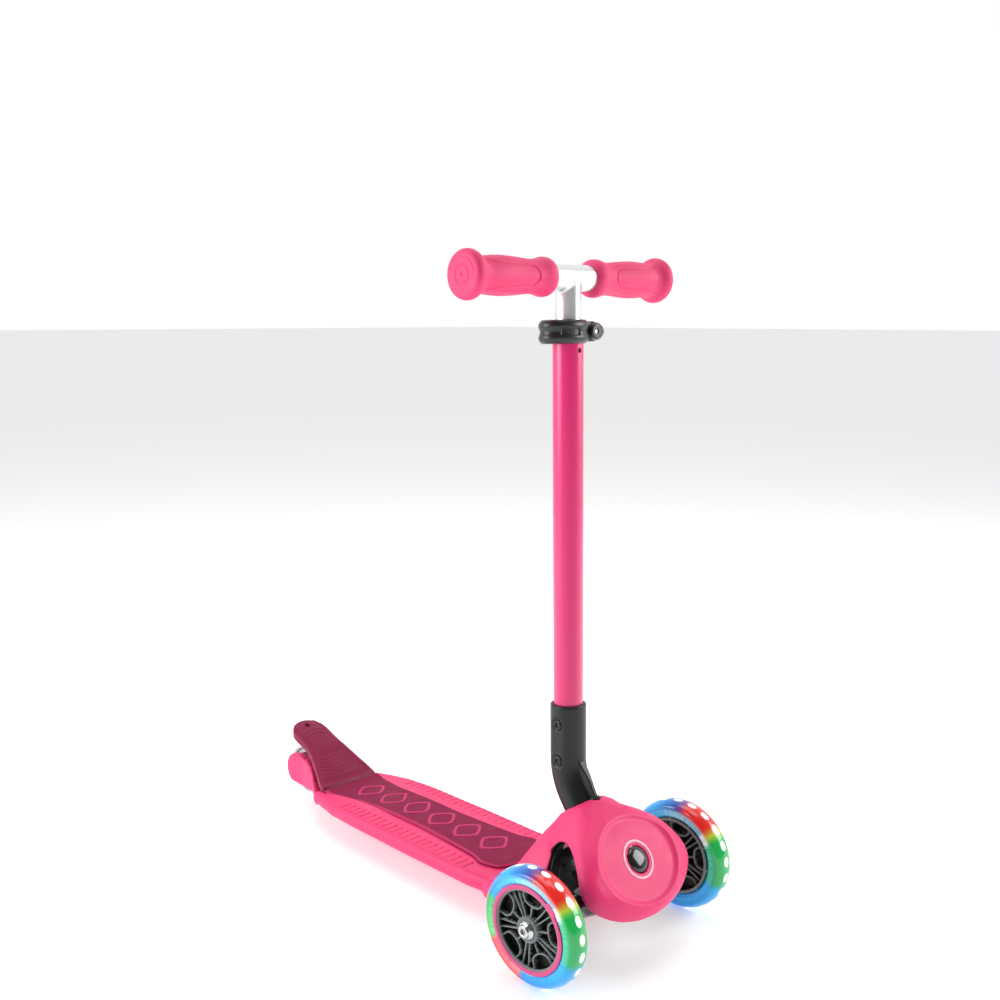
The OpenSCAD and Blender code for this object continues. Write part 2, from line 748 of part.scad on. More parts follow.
// Torsion spring on the hinge pin, drawn as its stack of turns
module brake_spring() {
    color("silver") at_front_axle() translate([-6, hinge_back, hinge_up]) rotate([0, 90, 0])
        rotate_extrude()
            for (i = [0:8]) translate([brake_pin_d/2 + 1.1, i*1.5]) circle(r = 0.8, $fn = 16);
}

// ---------------------------------------------------------------- elbow and column

bend_up = pivot_up + leg_length;
bend_back = steer_back(bend_up, pivot_out);
bend_height = steer_height(bend_up, pivot_out);
bar_axis = (bar_height - bend_height)/cos(lean);
tube_top = bar_axis - bar_clear;
bend_ball_r = elbow_r + 0.3;             // ball that fills the corner of the bend
screw_heights = [8, 47];
head_sink = 2.2;
tube_r = tube_d/2;
bore_r = tube_r - tube_wall;

// Frame along the column, from the elbow's bend
module column_frame() {
    at_front_axle() translate([0, bend_back, bend_height]) rotate([-lean, 0, 0]) children();
}

module elbow() {
    color("black") difference() {
        union() {
            steer_frame() {
                // Leg, rounded about the pivot at its foot
                translate([0, pivot_up, pivot_out]) {
                    intersection() {
                        x_rod(foot_r, elbow_d + 2);
                        rotate([90, 0, 0]) cylinder(r = elbow_r, h = elbow_d, center = true);
                    }
                    rotate([-90, 0, 0]) cylinder(r = elbow_r, h = leg_length);
                }
                // Fin in the inner corner of the bend
                side_plate([
                    [collar_up + 1, pivot_out], [collar_up + 1, 35.5], [collar_up + 14, 37.5],
                    [collar_up + 26, 38.5], [collar_up + 35, 38], [collar_up + 39, 34],
                    [bend_up, pivot_out]
                ], 8);
            }
            column_frame() {
                sphere(r = bend_ball_r);
                cylinder(r = elbow_r, h = socket_h);
            }
        }
        column_frame() {
            translate([0, 0, 3]) cylinder(r = tube_r + fit, h = 100);
            for (h = screw_heights) translate([0, 0, h]) rotate([0, -90, 0]) {
                cylinder(d = screw_d + 2*fit, h = 60);
                translate([0, 0, elbow_r - head_sink]) cylinder(d = 2*screw_d - 1 + 2*fit, h = 20);
            }
        }
        steer_frame() translate([0, pivot_up, pivot_out]) {
            x_rod(pivot_pin_d/2 + fit, 100);
            // Notch for the latch
            translate([0, -foot_r, latch_pin_out - pivot_out]) x_rod(latch_pin_r + 0.5, 100);
        }
    }
}

module elbow_screws() {
    color("dimgray") column_frame() for (h = screw_heights) translate([0, 0, h]) rotate([0, -90, 0]) {
        translate([0, 0, bore_r - 1]) cylinder(d = screw_d, h = elbow_r - head_sink - bore_r + 1);
        translate([0, 0, elbow_r - head_sink]) cylinder(d = 2*screw_d - 1, h = head_sink - 0.5);
    }
}

sleeve_h = 65;
clamp_low = tube_top + 3 - clamp_h;
detent_h = clamp_low - 5;
detent_r = 2.5;

module lower_tube() {
    color("deeppink") column_frame() difference() {
        translate([0, 0, 3]) tube(tube_r, bore_r, tube_top - 3);
        for (h = screw_heights) translate([0, 0, h]) rotate([0, -90, 0])
            cylinder(d = screw_d + 2*fit, h = 60);
        translate([0, 0, detent_h]) rotate([90, 0, 0]) cylinder(r = detent_r, h = 60);
        // Slit that lets the clamp close the tube
        translate([0, -1, tube_top - 34]) cube([60, 2, 60]);
    }
}

module tube_sleeve() {
    color("black") column_frame() difference() {
        union() {
            translate([0, 0, tube_top - sleeve_h]) tube(bore_r - eps, bar_d/2 + fit, sleeve_h + 1);
            translate([0, 0, tube_top]) tube(tube_r, bar_d/2 + fit, 1);
        }
        translate([0, -1, tube_top - 34]) cube([60, 2, 60]);
        translate([0, 0, detent_h]) rotate([90, 0, 0]) cylinder(r = detent_r, h = 60);
    }
}

clamp_r = clamp_d/2;
ear_x = clamp_r + 4;                     // bolt of the clamp, beside the tube
ear_half = 11;
cam_r = 6.5;                             // barrel of the cam behind the ears
cam_back = ear_half + cam_r + 0.5;
cam_pin_r = 2;
eye_r = cam_pin_r + 1.9;

module clamp_collar() {
    color("black") column_frame() difference() {
        union() {
            translate([0, 0, clamp_low]) cylinder(r = clamp_r, h = clamp_h);
            translate([0, -ear_half, clamp_low + 2]) cube([clamp_r + 10, 2*ear_half, clamp_h - 4]);
        }
        translate([0, 0, clamp_low - 1]) cylinder(r = tube_r + fit, h = tube_top + 1 - clamp_low + 1 + fit);
        cylinder(r = bar_d/2 + 0.6, h = 1000);
        translate([0, -1.2, clamp_low - 1]) cube([100, 2.4, clamp_h + 2]);
        translate([ear_x, 0, clamp_low + clamp_h/2]) rotate([90, 0, 0])
            cylinder(d = screw_d + 2*fit, h = 100, center = true);
        // Shallow window in the front of the band
        translate([-7, -clamp_r - 1, clamp_low + 5]) cube([12, 2, 8]);
    }
}

// Clamp bolt, whose eye turns on the cam's pin
module clamp_bolt() {
    color("silver") column_frame() translate([ear_x, 0, clamp_low + clamp_h/2]) difference() {
        union() {
            rotate([90, 0, 0]) translate([0, 0, cam_pin_r + 0.8 - cam_back])
                cylinder(d = screw_d, h = cam_back - cam_pin_r - 0.8 + ear_half + 4);
            translate([0, cam_back, 0]) cylinder(r = eye_r, h = screw_d + 0.4, center = true);
        }
        translate([0, cam_back, 0]) cylinder(r = cam_pin_r + fit, h = 20, center = true);
    }
}

module clamp_nut() {
    color("silver") column_frame() translate([ear_x, -ear_half, clamp_low + clamp_h/2]) rotate([90, 0, 0])
        difference() {
            cylinder(r = screw_d/2 + 2.5, h = 4);
            translate([0, 0, -1]) cylinder(d = screw_d + 2*eps, h = 6);
        }
}

lever_r = 9.3;

// Quick-release lever: a cam barrel behind the ears and a bullet-shaped handle beside them
module cam_lever() {
    color("black") column_frame() translate([0, 0, clamp_low + clamp_h/2]) difference() {
        union() {
            translate([ear_x, cam_back, -lever_r + 1]) cylinder(r = cam_r, h = 2*lever_r - 2);
            hull() {
                translate([ear_x + 4, cam_back + 1.5, 0]) cube([2, 6, 2*lever_r - 4], center = true);
                translate([clamp_r + 15, cam_back - 5, 0]) sphere(r = 5, $fn = blend_fn);
                translate([clamp_r + 20, 4, 0]) rotate([0, 90, 0])
                    cylinder(r = lever_r - 1, h = 2, $fn = blend_fn);
            }
            translate([clamp_r + 10 + play, 0, 0]) rotate([0, 90, 0]) rotate_extrude() polygon([
                [0, 0], [lever_r - 0.6, 0], [lever_r, 3], [lever_r, 8], [lever_r - 1, 12],
                [lever_r - 3.5, 16.5], [lever_r - 6.8, 20], [0, 21 - play]
            ]);
        }
        translate([ear_x, cam_back, 0]) cylinder(r = cam_pin_r + fit, h = 100, center = true);
        // Slot in which the bolt and its eye swing
        translate([ear_x - 12, cam_back - 10, -screw_d/2 - 0.6])
            cube([12 + screw_d/2 + 0.5, 20, screw_d + 1.2]);
        translate([ear_x, cam_back, 0]) cylinder(r = eye_r + 0.4, h = screw_d + 1.2, center = true);
    }
}

module cam_pin() {
    color("silver") column_frame() translate([ear_x, cam_back, clamp_low + clamp_h/2])
        cylinder(r = cam_pin_r, h = 2*lever_r - 2, center = true);
}

// ---------------------------------------------------------------- handlebar

bar_r = bar_d/2;
bar_bore_r = bar_r - bar_wall;
stem_foot = tube_top - sleeve_h - bar_raise - 16;
cross_half = bar_width/2 - 9;

// Frame on the handlebar's axis, leaning with the column
module bar_frame() {
    column_frame() translate([0, 0, bar_axis]) children();
}

module handlebar_tube() {
    color("white") column_frame() difference() {
        union() {
            translate([0, 0, stem_foot]) cylinder(r = bar_r, h = bar_axis - stem_foot);
            translate([0, 0, bar_axis]) x_rod(bar_r, 2*cross_half);
        }
        translate([0, 0, stem_foot - 1]) cylinder(r = bar_bore_r, h = bar_axis - stem_foot + 1);
        translate([0, 0, bar_axis]) x_rod(bar_bore_r, 2*cross_half + 2);
        translate([0, 0, detent_h]) rotate([90, 0, 0]) cylinder(r = detent_r + fit, h = 60);
    }
}

// Plastic foot that guides the sliding tube in the lower tube
module tube_foot() {
    color("white") column_frame() translate([0, 0, stem_foot]) {
        tube(bore_r - fit, bar_r + eps, 14);
        translate([0, 0, -2]) cylinder(r = bore_r - fit, h = 2);
        cylinder(r = bar_bore_r - eps, h = 10);
    }
}

// The button's end lies flush in the wall of the sliding tube
detent_end = sqrt(bar_r*bar_r - detent_r*detent_r) - 0.1;

module detent_button() {
    color("silver") column_frame() translate([0, 0, detent_h]) rotate([90, 0, 0]) {
        translate([0, 0, bar_bore_r - 2]) cylinder(r = detent_r, h = detent_end + 2 - bar_bore_r);
        translate([0, 0, bar_bore_r - 3.5]) cylinder(r = detent_r + 1, h = 1.5);
    }
}

// Leaf spring that pushes the detent button outwards
module detent_spring() {
    color("silver") column_frame() translate([0, -bar_bore_r + 3.5, detent_h]) {
        translate([-3, 0, -12]) cube([6, 0.8, 24]);
        translate([-3, 0, 11.2]) cube([6, 2*bar_bore_r - 8, 0.8]);
        translate([-3, 2*bar_bore_r - 8.8, -12]) cube([6, 0.8, 24]);
    }
}

grip_in = bar_width/2 - grip_length;
flange_r = palm_d/2;

// Half section of a grip: distance from the middle of the handlebar and radius
function grip_outline() = [
    [grip_in, flange_r - 2.5], [grip_in + 2.5, flange_r], [grip_in + 7, flange_r],
    [grip_in + 13, flange_r - 2], [grip_in + 22, palm_d/2 - 2.6], [grip_in + 36, palm_d/2 - 1.6],
    [grip_in + 55, palm_d/2], [bar_width/2 - 33, palm_d/2 - 0.8], [bar_width/2 - 17, palm_d/2 - 2],
    [bar_width/2 - 12.5, grip_end_d/2 - 3], [bar_width/2 - 9, grip_end_d/2],
    [bar_width/2 - 4, grip_end_d/2], [bar_width/2 - 1.5, grip_end_d/2 - 3], [bar_width/2, grip_end_d/2 - 9]
];

module grip(side) {
    color("hotpink") bar_frame() rotate([0, side*90, 0]) rotate_extrude() polygon(concat(
        [for (p = grip_outline()) [p.y, p.x]],
        [[0, bar_width/2], [0, cross_half + 1], [bar_r + fit, cross_half + 1], [bar_r + fit, grip_in]]
    ));
}

module bar_plugs() {
    color("white") bar_frame() for (side = [-1, 1])
        translate([side*(cross_half - 9), 0, 0]) x_rod(bar_bore_r - eps, 18);
}

// ---------------------------------------------------------------- nodes

deck();
deck_mat();
neck_shell();
nose_hood();
steering_bracket();
kingpin();
kingpin_nut();
steering_bushes();
bracket_screws();
hood_screws();
pivot_pin();
button_spring();
brake_pin();
brake_spring();
rear_axle_bolt();
rear_axle_nut();
truck();
front_axle_bolts();
axle_spacers();
front_hub(1);  // left_hub
front_tyre(1);  // left_tyre
trim_ring(1);  // left_trim_ring
light_ring(1);  // left_light_ring
color("silver") front_wheel_frame(1) bearing_pair();  // left_bearings
color("silver") front_wheel_frame(1) bearing_sleeve();  // left_sleeve
front_hub(-1);  // right_hub
front_tyre(-1);  // right_tyre
trim_ring(-1);  // right_trim_ring
light_ring(-1);  // right_light_ring
color("silver") front_wheel_frame(-1) bearing_pair();  // right_bearings
color("silver") front_wheel_frame(-1) bearing_sleeve();  // right_sleeve
rear_hub();
rear_tyre();
color("silver") rear_wheel_frame() bearing_pair();  // rear_bearings
color("silver") rear_wheel_frame() bearing_sleeve();  // rear_sleeve
brake_fender();
brake_root();
push_button();
latch_plate();
latch_pin();
elbow();
elbow_screws();
lower_tube();
tube_sleeve();
clamp_collar();
clamp_bolt();
clamp_nut();
cam_lever();
cam_pin();
handlebar_tube();
tube_foot();
detent_button();
detent_spring();
grip(1);  // left_grip
grip(-1);  // right_grip
bar_plugs();
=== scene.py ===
import json
import math
import bpy
import numpy as np
from mathutils import Matrix, Vector


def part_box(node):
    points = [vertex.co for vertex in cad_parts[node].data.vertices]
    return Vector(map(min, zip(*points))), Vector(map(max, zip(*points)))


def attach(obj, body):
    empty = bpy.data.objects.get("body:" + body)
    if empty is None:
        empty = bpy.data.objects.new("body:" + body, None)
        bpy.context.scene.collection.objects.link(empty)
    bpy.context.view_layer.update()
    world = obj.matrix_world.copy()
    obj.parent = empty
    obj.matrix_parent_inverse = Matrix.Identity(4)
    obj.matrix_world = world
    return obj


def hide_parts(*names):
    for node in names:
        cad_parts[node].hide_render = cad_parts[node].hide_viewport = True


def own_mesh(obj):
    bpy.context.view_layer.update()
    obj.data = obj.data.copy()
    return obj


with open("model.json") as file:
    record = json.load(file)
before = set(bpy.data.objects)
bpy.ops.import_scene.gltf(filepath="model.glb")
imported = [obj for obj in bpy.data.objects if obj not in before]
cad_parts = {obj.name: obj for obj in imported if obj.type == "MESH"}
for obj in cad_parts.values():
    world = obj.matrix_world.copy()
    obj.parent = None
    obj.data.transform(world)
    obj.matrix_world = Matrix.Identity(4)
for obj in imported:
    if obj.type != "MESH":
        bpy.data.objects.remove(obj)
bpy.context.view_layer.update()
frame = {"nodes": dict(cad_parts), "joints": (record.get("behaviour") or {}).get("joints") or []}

mm = 0.001
node = frame["nodes"]

# ---------------------------------------------------------------- studio
# A seamless pale floor, one broad soft light from each side and one from above, and the camera.
# The camera looks down a little from the front right of the scooter.

tyre_low, tyre_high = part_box("left_tyre")
front_axle_y = tyre_low.y + (tyre_high.z - tyre_low.z)/2
camera_turn = math.radians(-43.02)
camera_tilt = math.radians(13.54)
camera_place = Vector((-0.85634, front_axle_y - 0.68191, 0.62793))
floor_half = 60


def look_frame(turn, tilt):
    """A camera's rotation: its back axis points out along the turn and up by the tilt."""
    back = Vector((math.sin(turn)*math.cos(tilt), -math.cos(turn)*math.cos(tilt), math.sin(tilt)))
    right = Vector((math.cos(turn), math.sin(turn), 0))
    return Matrix((right, back.cross(right), back)).transposed().to_4x4()


camera_data = bpy.data.cameras.new("studio_camera")
camera_data.sensor_width = 36
camera_data.lens = camera_data.sensor_width*1.15565
camera_data.shift_x = 0.0445
camera_data.shift_y = 0.0962
camera_data.clip_start = 0.05
camera = bpy.data.objects.new("studio_camera", camera_data)
camera.matrix_world = Matrix.Translation(camera_place) @ look_frame(camera_turn, camera_tilt)
bpy.context.scene.collection.objects.link(camera)
bpy.context.scene.camera = camera


def area_light(name, place, aim, size, power):
    """A square soft light at one point, turned to face another."""
    lamp = bpy.data.lights.new(name, "AREA")
    lamp.shape = "SQUARE"
    lamp.size = size
    lamp.energy = power
    holder = bpy.data.objects.new(name, lamp)
    turn = (Vector(aim) - Vector(place)).to_track_quat("-Z", "Y")
    holder.matrix_world = Matrix.Translation(place) @ turn.to_matrix().to_4x4()
    bpy.context.scene.collection.objects.link(holder)


area_light("left_light", (-2.0, 1.0, 1.1), (0, -0.1, 0.3), 1.5, 40)
area_light("right_light", (1.7, -1.7, 1.3), (0, -0.1, 0.3), 1.4, 36)
area_light("top_light", (0.1, 0.2, 2.6), (0, 0, 0.1), 1.6, 17)


def node_of(tree, kind, inputs=(), **fields):
    """A new shader node with its fields set, and each (socket, value or output) of inputs set or linked."""
    made = tree.nodes.new(kind)
    for field, value in fields.items():
        setattr(made, field, value)
    for socket, value in inputs:
        if isinstance(value, bpy.types.NodeSocket):
            tree.links.new(value, made.inputs[socket])
        else:
            made.inputs[socket].default_value = value
    return made


# The surroundings are white behind and beside the scooter, and dim in front of it
world = bpy.data.worlds.new("studio_world")
world.use_nodes = True
sky = world.node_tree
direction = node_of(sky, "ShaderNodeTexCoord").outputs["Generated"]
facing = node_of(sky, "ShaderNodeVectorMath", [(0, direction), (1, (-0.66, -0.71, 0.23))],
                 operation="DOT_PRODUCT").outputs["Value"]
glow = node_of(sky, "ShaderNodeMapRange", [("Value", facing), ("From Min", -0.45), ("From Max", 0.5),
                                           ("To Min", 1.0), ("To Max", 0.14)],
               interpolation_type="SMOOTHSTEP").outputs["Result"]
background = sky.nodes["Background"]
background.inputs["Color"].default_value = (1.0, 1.0, 1.0, 1)
sky.links.new(glow, background.inputs["Strength"])
bpy.context.scene.world = world
bpy.context.scene.view_settings.view_transform = "Standard"


def bare_mesh(name, points, faces):
    """A smooth-shaded mesh object from an array of points in metres and an array or list of faces."""
    mesh = bpy.data.meshes.new(name)
    mesh.from_pydata([tuple(p) for p in np.asarray(points, float)], [], [tuple(map(int, f)) for f in faces])
    mesh.validate()
    mesh.polygons.foreach_set("use_smooth", np.ones(len(mesh.polygons), bool))
    mesh.update()
    made = bpy.data.objects.new(name, mesh)
    bpy.context.scene.collection.objects.link(made)
    return made


def paint(name, colour, roughness, **more):
    """A new principled material, with further sockets of its shader set by name."""
    material = bpy.data.materials.new(name)
    material.use_nodes = True
    sockets = material.node_tree.nodes["Principled BSDF"].inputs
    sockets["Base Color"].default_value = (*colour, 1)
    sockets["Roughness"].default_value = roughness
    for socket, value in more.items():
        sockets[socket.replace("_", " ")].default_value = value
    return material


floor_corners = [(-floor_half, -floor_half, 0), (floor_half, -floor_half, 0),
                 (floor_half, floor_half, 0), (-floor_half, floor_half, 0)]
floor_piece = bare_mesh("studio_floor", floor_corners, [(0, 1, 2, 3)])
floor_paint = paint("pale_floor", (0.96, 0.96, 0.96), 0.9, Emission_Color=(1, 1, 1, 1),
                    Emission_Strength=0.33)
floor_piece.data.materials.append(floor_paint)

# ---------------------------------------------------------------- pink moulding
# Deck, rear fork arms, neck and nose are one injection moulding in pink plastic with a fine matt
# grain. It is a closed skin round a signed distance: each formula gives how far a point lies
# outside one form, and rounded unions and cuts join the forms.

# Sizes are in mm: y counts back from the front axle and z up from the floor. In the steer frame,
# m counts up the nose's face from the axle and s out of the nose from the kingpin
axle_h = 60.5
rake = math.radians(35)
rear_low, rear_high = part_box("rear_tyre")
wheelbase = (rear_low.y/2 + rear_high.y/2 - front_axle_y)/mm
rear_axle_h = rear_high.z/2/mm
column_s = 8
pivot_m, collar_m, face_m = 70, 89, 16.6
collar_r, column_bore_r, button_hole_r = 22.9, 19.4, 14.0
deck_front, deck_rear, deck_under = 92, 447, 27
groove_pitch, groove_first, groove_last = 10, 150, 386
channel_half, channel_floor = 23.6, 42
pivot_boss_r, ear_room_half, ear_room_r = 12.6, 19.3, 18.9
arch_top, arch_front, arch_back, arch_r = 62, 37, 52, 45
shield_half, shield_above, shield_below, nose_wall = 85.5, 88.0, 55.5, 5.5
dish_half, dish_rise, dish_depth, dish_bevel = 51.5, 42, 2.3, 0.8
fork_front, fork_gap_half = 429, 44


def round_join(a, b, r):
    """The union of two forms with a fillet of radius r in the corner."""
    return np.maximum(np.minimum(a, b), r) - np.hypot(np.maximum(r - a, 0), np.maximum(r - b, 0))


def round_cut(a, b, r):
    """What two forms share, with the edge rounded to radius r."""
    return np.minimum(np.maximum(a, b), -r) + np.hypot(np.maximum(a + r, 0), np.maximum(b + r, 0))


def greatest(value, *others):
    """The greatest of several values at each point: of distances, what the forms share, with sharp edges."""
    for other in others:
        value = np.maximum(value, other)
    return value


def oval(x, y, a, b):
    """Distance outside an ellipse with half-axes a and b, good near its edge."""
    k1 = np.hypot(x/a, y/b)
    k2 = np.hypot(x/a**2, y/b**2) + 1e-9
    return k1*(k1 - 1)/k2


def step(lo, hi, t):
    """A smooth ramp from 0 at lo to 1 at hi."""
    t = np.clip((t - lo)/(hi - lo), 0, 1)
    return t*t*(3 - 2*t)


def steer_frame(y, z):
    """The steer frame's m and s of a point: its y and z turned by the rake about the front axle."""
    m = y*math.sin(rake) + (z - axle_h)*math.cos(rake)
    s = -y*math.cos(rake) + (z - axle_h)*math.sin(rake)
    return m, s


def deck_half_width(y):
    """Half-width of the deck, by straight lines: full in the middle, narrower to the rear."""
    return np.interp(y, [60, 95, 110, 150, 250, 350, 391, 420, 445, 460],
                     [50, 58, 63, 67.5, 68, 67, 65.5, 60, 53, 45])


def deck_crown(y):
    """Height of the deck's top: a gentle arch, highest ahead of the middle."""
    s = (y - 290)/100
    return 47.6 - 1.6*s - 1.9*s*s*(s > 0) - 0.4*s*s*(s < 0)


def arch_form(y, m, s):
    """Distance outside the opening under the neck: a long round vault across the steering axis."""
    return round_cut(round_cut(m - arch_top, s - arch_front, arch_r), y - arch_back, 14)


def deck_slab(ax, y, z, top):
    """Deck: a slab with round edges."""
    slab = round_cut(ax - deck_half_width(y), np.abs(z - (top + deck_under)/2) - (top - deck_under)/2, 8)
    return round_cut(round_cut(slab, deck_front - y, 7), y - deck_rear, 3)


def neck_leg(ax, y, z):
    """Neck: a leg that flares from the collar down to the deck, by its rear, front and side outlines."""
    rear = np.interp(z, [20, 46, 52, 60, 68, 79, 98, 116, 121, 140],
                     [128, 118, 106, 99, 95, 90, 80.5, 72, 68.5, 58])
    front = np.interp(z, [20, 60, 90, 100, 106, 109, 112], [54, 52, 51, 47, 41, 33, 20])
    flank = np.interp(z, [20, 40, 46, 52, 60, 70, 80, 92, 105, 121, 160],
                      [68, 65.5, 62, 57.5, 51.5, 45, 40, 35, 29.5, 24, 21.5])
    leg = round_cut(ax - flank, (y - rear)*0.86, 9)
    return round_cut(round_cut(leg, (front - y)*0.95, 3), 28 - z, 3)


def nose_shield(x, m, s):
    """Nose: an egg-shaped shield with a domed face, whose roof runs back to the round collar."""
    ax = np.abs(x)
    up = m - face_m
    shield = oval(ax, up, shield_half, np.where(up > 0, shield_above, shield_below))
    shield = round_cut(shield, 0.716*ax + 0.698*m - 77.9 + 0.11*(45 - s), 30)
    roundness = 11 + 13*np.clip(ax/80, 0, 1) + 10*step(0, 50, up)
    face = s - 52.5 + 1.2*np.clip((ax/85)**2 + (up/80)**2, 0, 1.5)
    nose = round_cut(shield*15/roundness, face, 15)
    nose = round_cut(nose, 0.605*m + 0.796*s - 80, 20)
    nose = round_cut(nose, -22 - s, 4)
    # A shallow oval dish in the face, with a bevelled rim round it
    dish = np.hypot(x/dish_half, up/dish_rise)
    bevel = dish_bevel*step(1.02, 1.07, dish)*step(1.24, 1.10, dish)
    return nose + dish_depth*step(1.08, 0.94, dish) - bevel


def fold_channel(x, z, m, s):
    """Room for the bracket and, round the fold pivot, for its bosses, down to the channel's floor."""
    ax = np.abs(x)
    about_pivot = np.hypot(m - pivot_m, s - column_s)
    channel = greatest(ax - channel_half, m - pivot_m, s - 29, -s - 20)
    channel = np.minimum(channel, np.maximum(ax - channel_half, about_pivot - pivot_boss_r))
    channel = np.minimum(channel, np.maximum(ax - ear_room_half, about_pivot - ear_room_r))
    return np.maximum(channel, channel_floor - z)


def column_well(x, m, s):
    """The collar's bore with a notch in its front rim, and the slot through which the elbow folds back."""
    bore = np.maximum(np.hypot(x, s - column_s) - column_bore_r, 50 - m)
    notch = np.maximum(np.hypot(x/6.5, (m - collar_m - 2)/5.5)*6 - 6, 20 - s)
    slot = greatest(np.abs(x) - column_bore_r, s - column_s, 51.2 - 0.12*s - m, -100 - s)
    return np.minimum(np.minimum(bore, notch), slot)


def side_grooves(ax, y, z, top):
    """Grooves across both side strips of the deck, from beside the mat nearly to the edge."""
    across = np.abs((y - groove_first - 2) % groove_pitch - groove_pitch/2) - 1.7
    strip = round_cut(np.abs(ax - 53.5) - 8.5, top - 2.0 - z, 0.4)
    return greatest(round_cut(across, strip, 0.6), groove_first - y, y - groove_last)


def fork_arm(ax, y, z):
    """Fork arms beside the rear wheel, by their outlines from above and from the side, round at the axle."""
    dy, dz = y - wheelbase, z - rear_axle_h
    outer = np.interp(y, [430, 445, 460, 480, 505, 560], [58, 51.5, 41, 29.5, 25.5, 24.6])
    inner = np.interp(y, [430, 443, 459, 475, 560], [44, 44, 30, 15.5, 15.5])
    upper = np.interp(y, [430, 445, 457, 472, 484, 500, 512, 530, 545],
                      [40.5, 33.5, 31.5, 39.5, 54.5, 63, 64.5, 62, 55])
    lower = np.interp(y, [430, 460, 500, 530, 545], [27, 25, 21.5, 22, 25])
    arm = round_cut(round_cut(ax - outer, z - upper, 4), lower - z, 3)
    arm = round_cut(arm, np.hypot(dy - 3, dz - 1) - 25 - 80*step(-12, -40, dy), 3)
    return greatest(arm, inner - ax, 436 - y)


def moulding(x, y, z):
    """Signed distance of the whole moulding: slab, leg, nose and fork arms joined, less every opening."""
    ax = np.abs(x)
    m, s = steer_frame(y, z)
    top = np.minimum(deck_crown(y), 46.2)
    nose = nose_shield(x, m, s)

    # The collar plane is square to the elbow's lower leg, and its rim is round
    spread = 1.15 + 1.3*np.clip((column_s - s)/40, 0, 1)
    cone = (np.hypot(x, s - column_s) - collar_r - spread*(collar_m - m))/np.hypot(1, spread)
    front_part = round_cut(round_join(neck_leg(ax, y, z), nose, 10), cone, 3)
    front_part = round_cut(front_part, m - collar_m, 2)
    body = round_join(deck_slab(ax, y, z, top), front_part, 13)

    # Arch under the neck for the truck, and the hollow behind the nose's face
    body = round_cut(body, -arch_form(y, m, s), 1.5)
    body = round_cut(body, -greatest(nose + nose_wall, m - 55, 30 - s), 1.2)
    body = np.maximum(body, -fold_channel(x, z, m, s))
    body = round_cut(body, -column_well(x, m, s), 1.2)
    body = round_cut(body, -side_grooves(ax, y, z, top), 0.5)
    # Hole for the fold button
    body = np.maximum(body, -np.maximum(np.hypot(x, m - face_m) - button_hole_r, 30 - s))
    body = round_join(body, fork_arm(ax, y, z), 3)
    # Open space between the arms for the brake's root
    return np.maximum(body, -greatest(ax - fork_gap_half, fork_front - y, y - deck_rear - 1))


def skin(distance, xs, ys, zs):
    """Closed surface of a signed distance on a box grid: one point in each cell that the surface crosses,
    one face for each grid edge that it crosses, and the points then moved onto it along its slope."""
    f = distance(*np.meshgrid(xs, ys, zs, indexing="ij", sparse=True))
    inside = f < 0
    shape = np.array(f.shape) - 1
    total = np.zeros(shape)
    centre = np.zeros((3, *shape))
    # Where the surface crosses each cell's twelve edges, summed
    for axis in range(3):
        others = [a for a in range(3) if a != axis]
        for i, j in ((0, 0), (0, 1), (1, 0), (1, 1)):
            start = [slice(0, n) for n in shape]
            start[others[0]] = slice(i, shape[others[0]] + i)
            start[others[1]] = slice(j, shape[others[1]] + j)
            end = list(start)
            end[axis] = slice(1, shape[axis] + 1)
            a, b = f[tuple(start)], f[tuple(end)]
            cross = (a < 0) != (b < 0)
            total += cross
            centre[axis] += np.where(cross, a/np.where(cross, a - b, 1), 0)
            centre[others[0]] += cross*i
            centre[others[1]] += cross*j
    # One point a cell, at the mean of its crossings
    cells = np.argwhere(total > 0)
    number = np.full(shape, -1)
    number[tuple(cells.T)] = np.arange(len(cells))
    share = centre[:, cells[:, 0], cells[:, 1], cells[:, 2]]/total[tuple(cells.T)]
    points = np.stack([grid[cells[:, a]] + share[a]*np.diff(grid)[cells[:, a]]
                       for a, grid in enumerate((xs, ys, zs))], 1)
    # One face a crossed edge, through the points of the four cells round it
    faces = []
    for axis in range(3):
        b, c = [(1, 2), (2, 0), (0, 1)][axis]
        low = [slice(1, -1)]*3
        low[axis] = slice(0, -1)
        high = list(low)
        high[axis] = slice(1, None)
        start, end = inside[tuple(low)], inside[tuple(high)]
        for flip, mask in ((False, start & ~end), (True, ~start & end)):
            at = np.argwhere(mask)
            ring = []
            for i, j in ((0, 0), (1, 0), (1, 1), (0, 1)):
                cell = at.copy()
                cell[:, b] += i
                cell[:, c] += j
                ring.append(number[tuple(cell.T)])
            quad = np.stack(ring, 1)
            faces.append(quad[:, ::-1] if flip else quad)
    # Three steps along the slope put the points on the surface
    reach, longest = 0.05, 0.6
    for _ in range(3):
        slope = np.stack([distance(*(points + shift).T) - distance(*(points - shift).T)
                          for shift in reach*np.eye(3)], 1)/(2*reach)
        move = -distance(*points.T)/np.maximum((slope**2).sum(1), 0.2)
        points = points + np.clip(move, -longest, longest)[:, None]*slope
    return points, np.concatenate(faces)


def centred(low, high, pitch):
    """Grid places at a pitch between two limits, moved so that they lie evenly about 0."""
    places = np.arange(low, high, pitch)
    return places - places.mean()


def from_axle(name, points, faces):
    """A piece from points in mm that count back from the front axle and up from the floor."""
    return bare_mesh(name, points*mm + (0, front_axle_y, 0), faces)


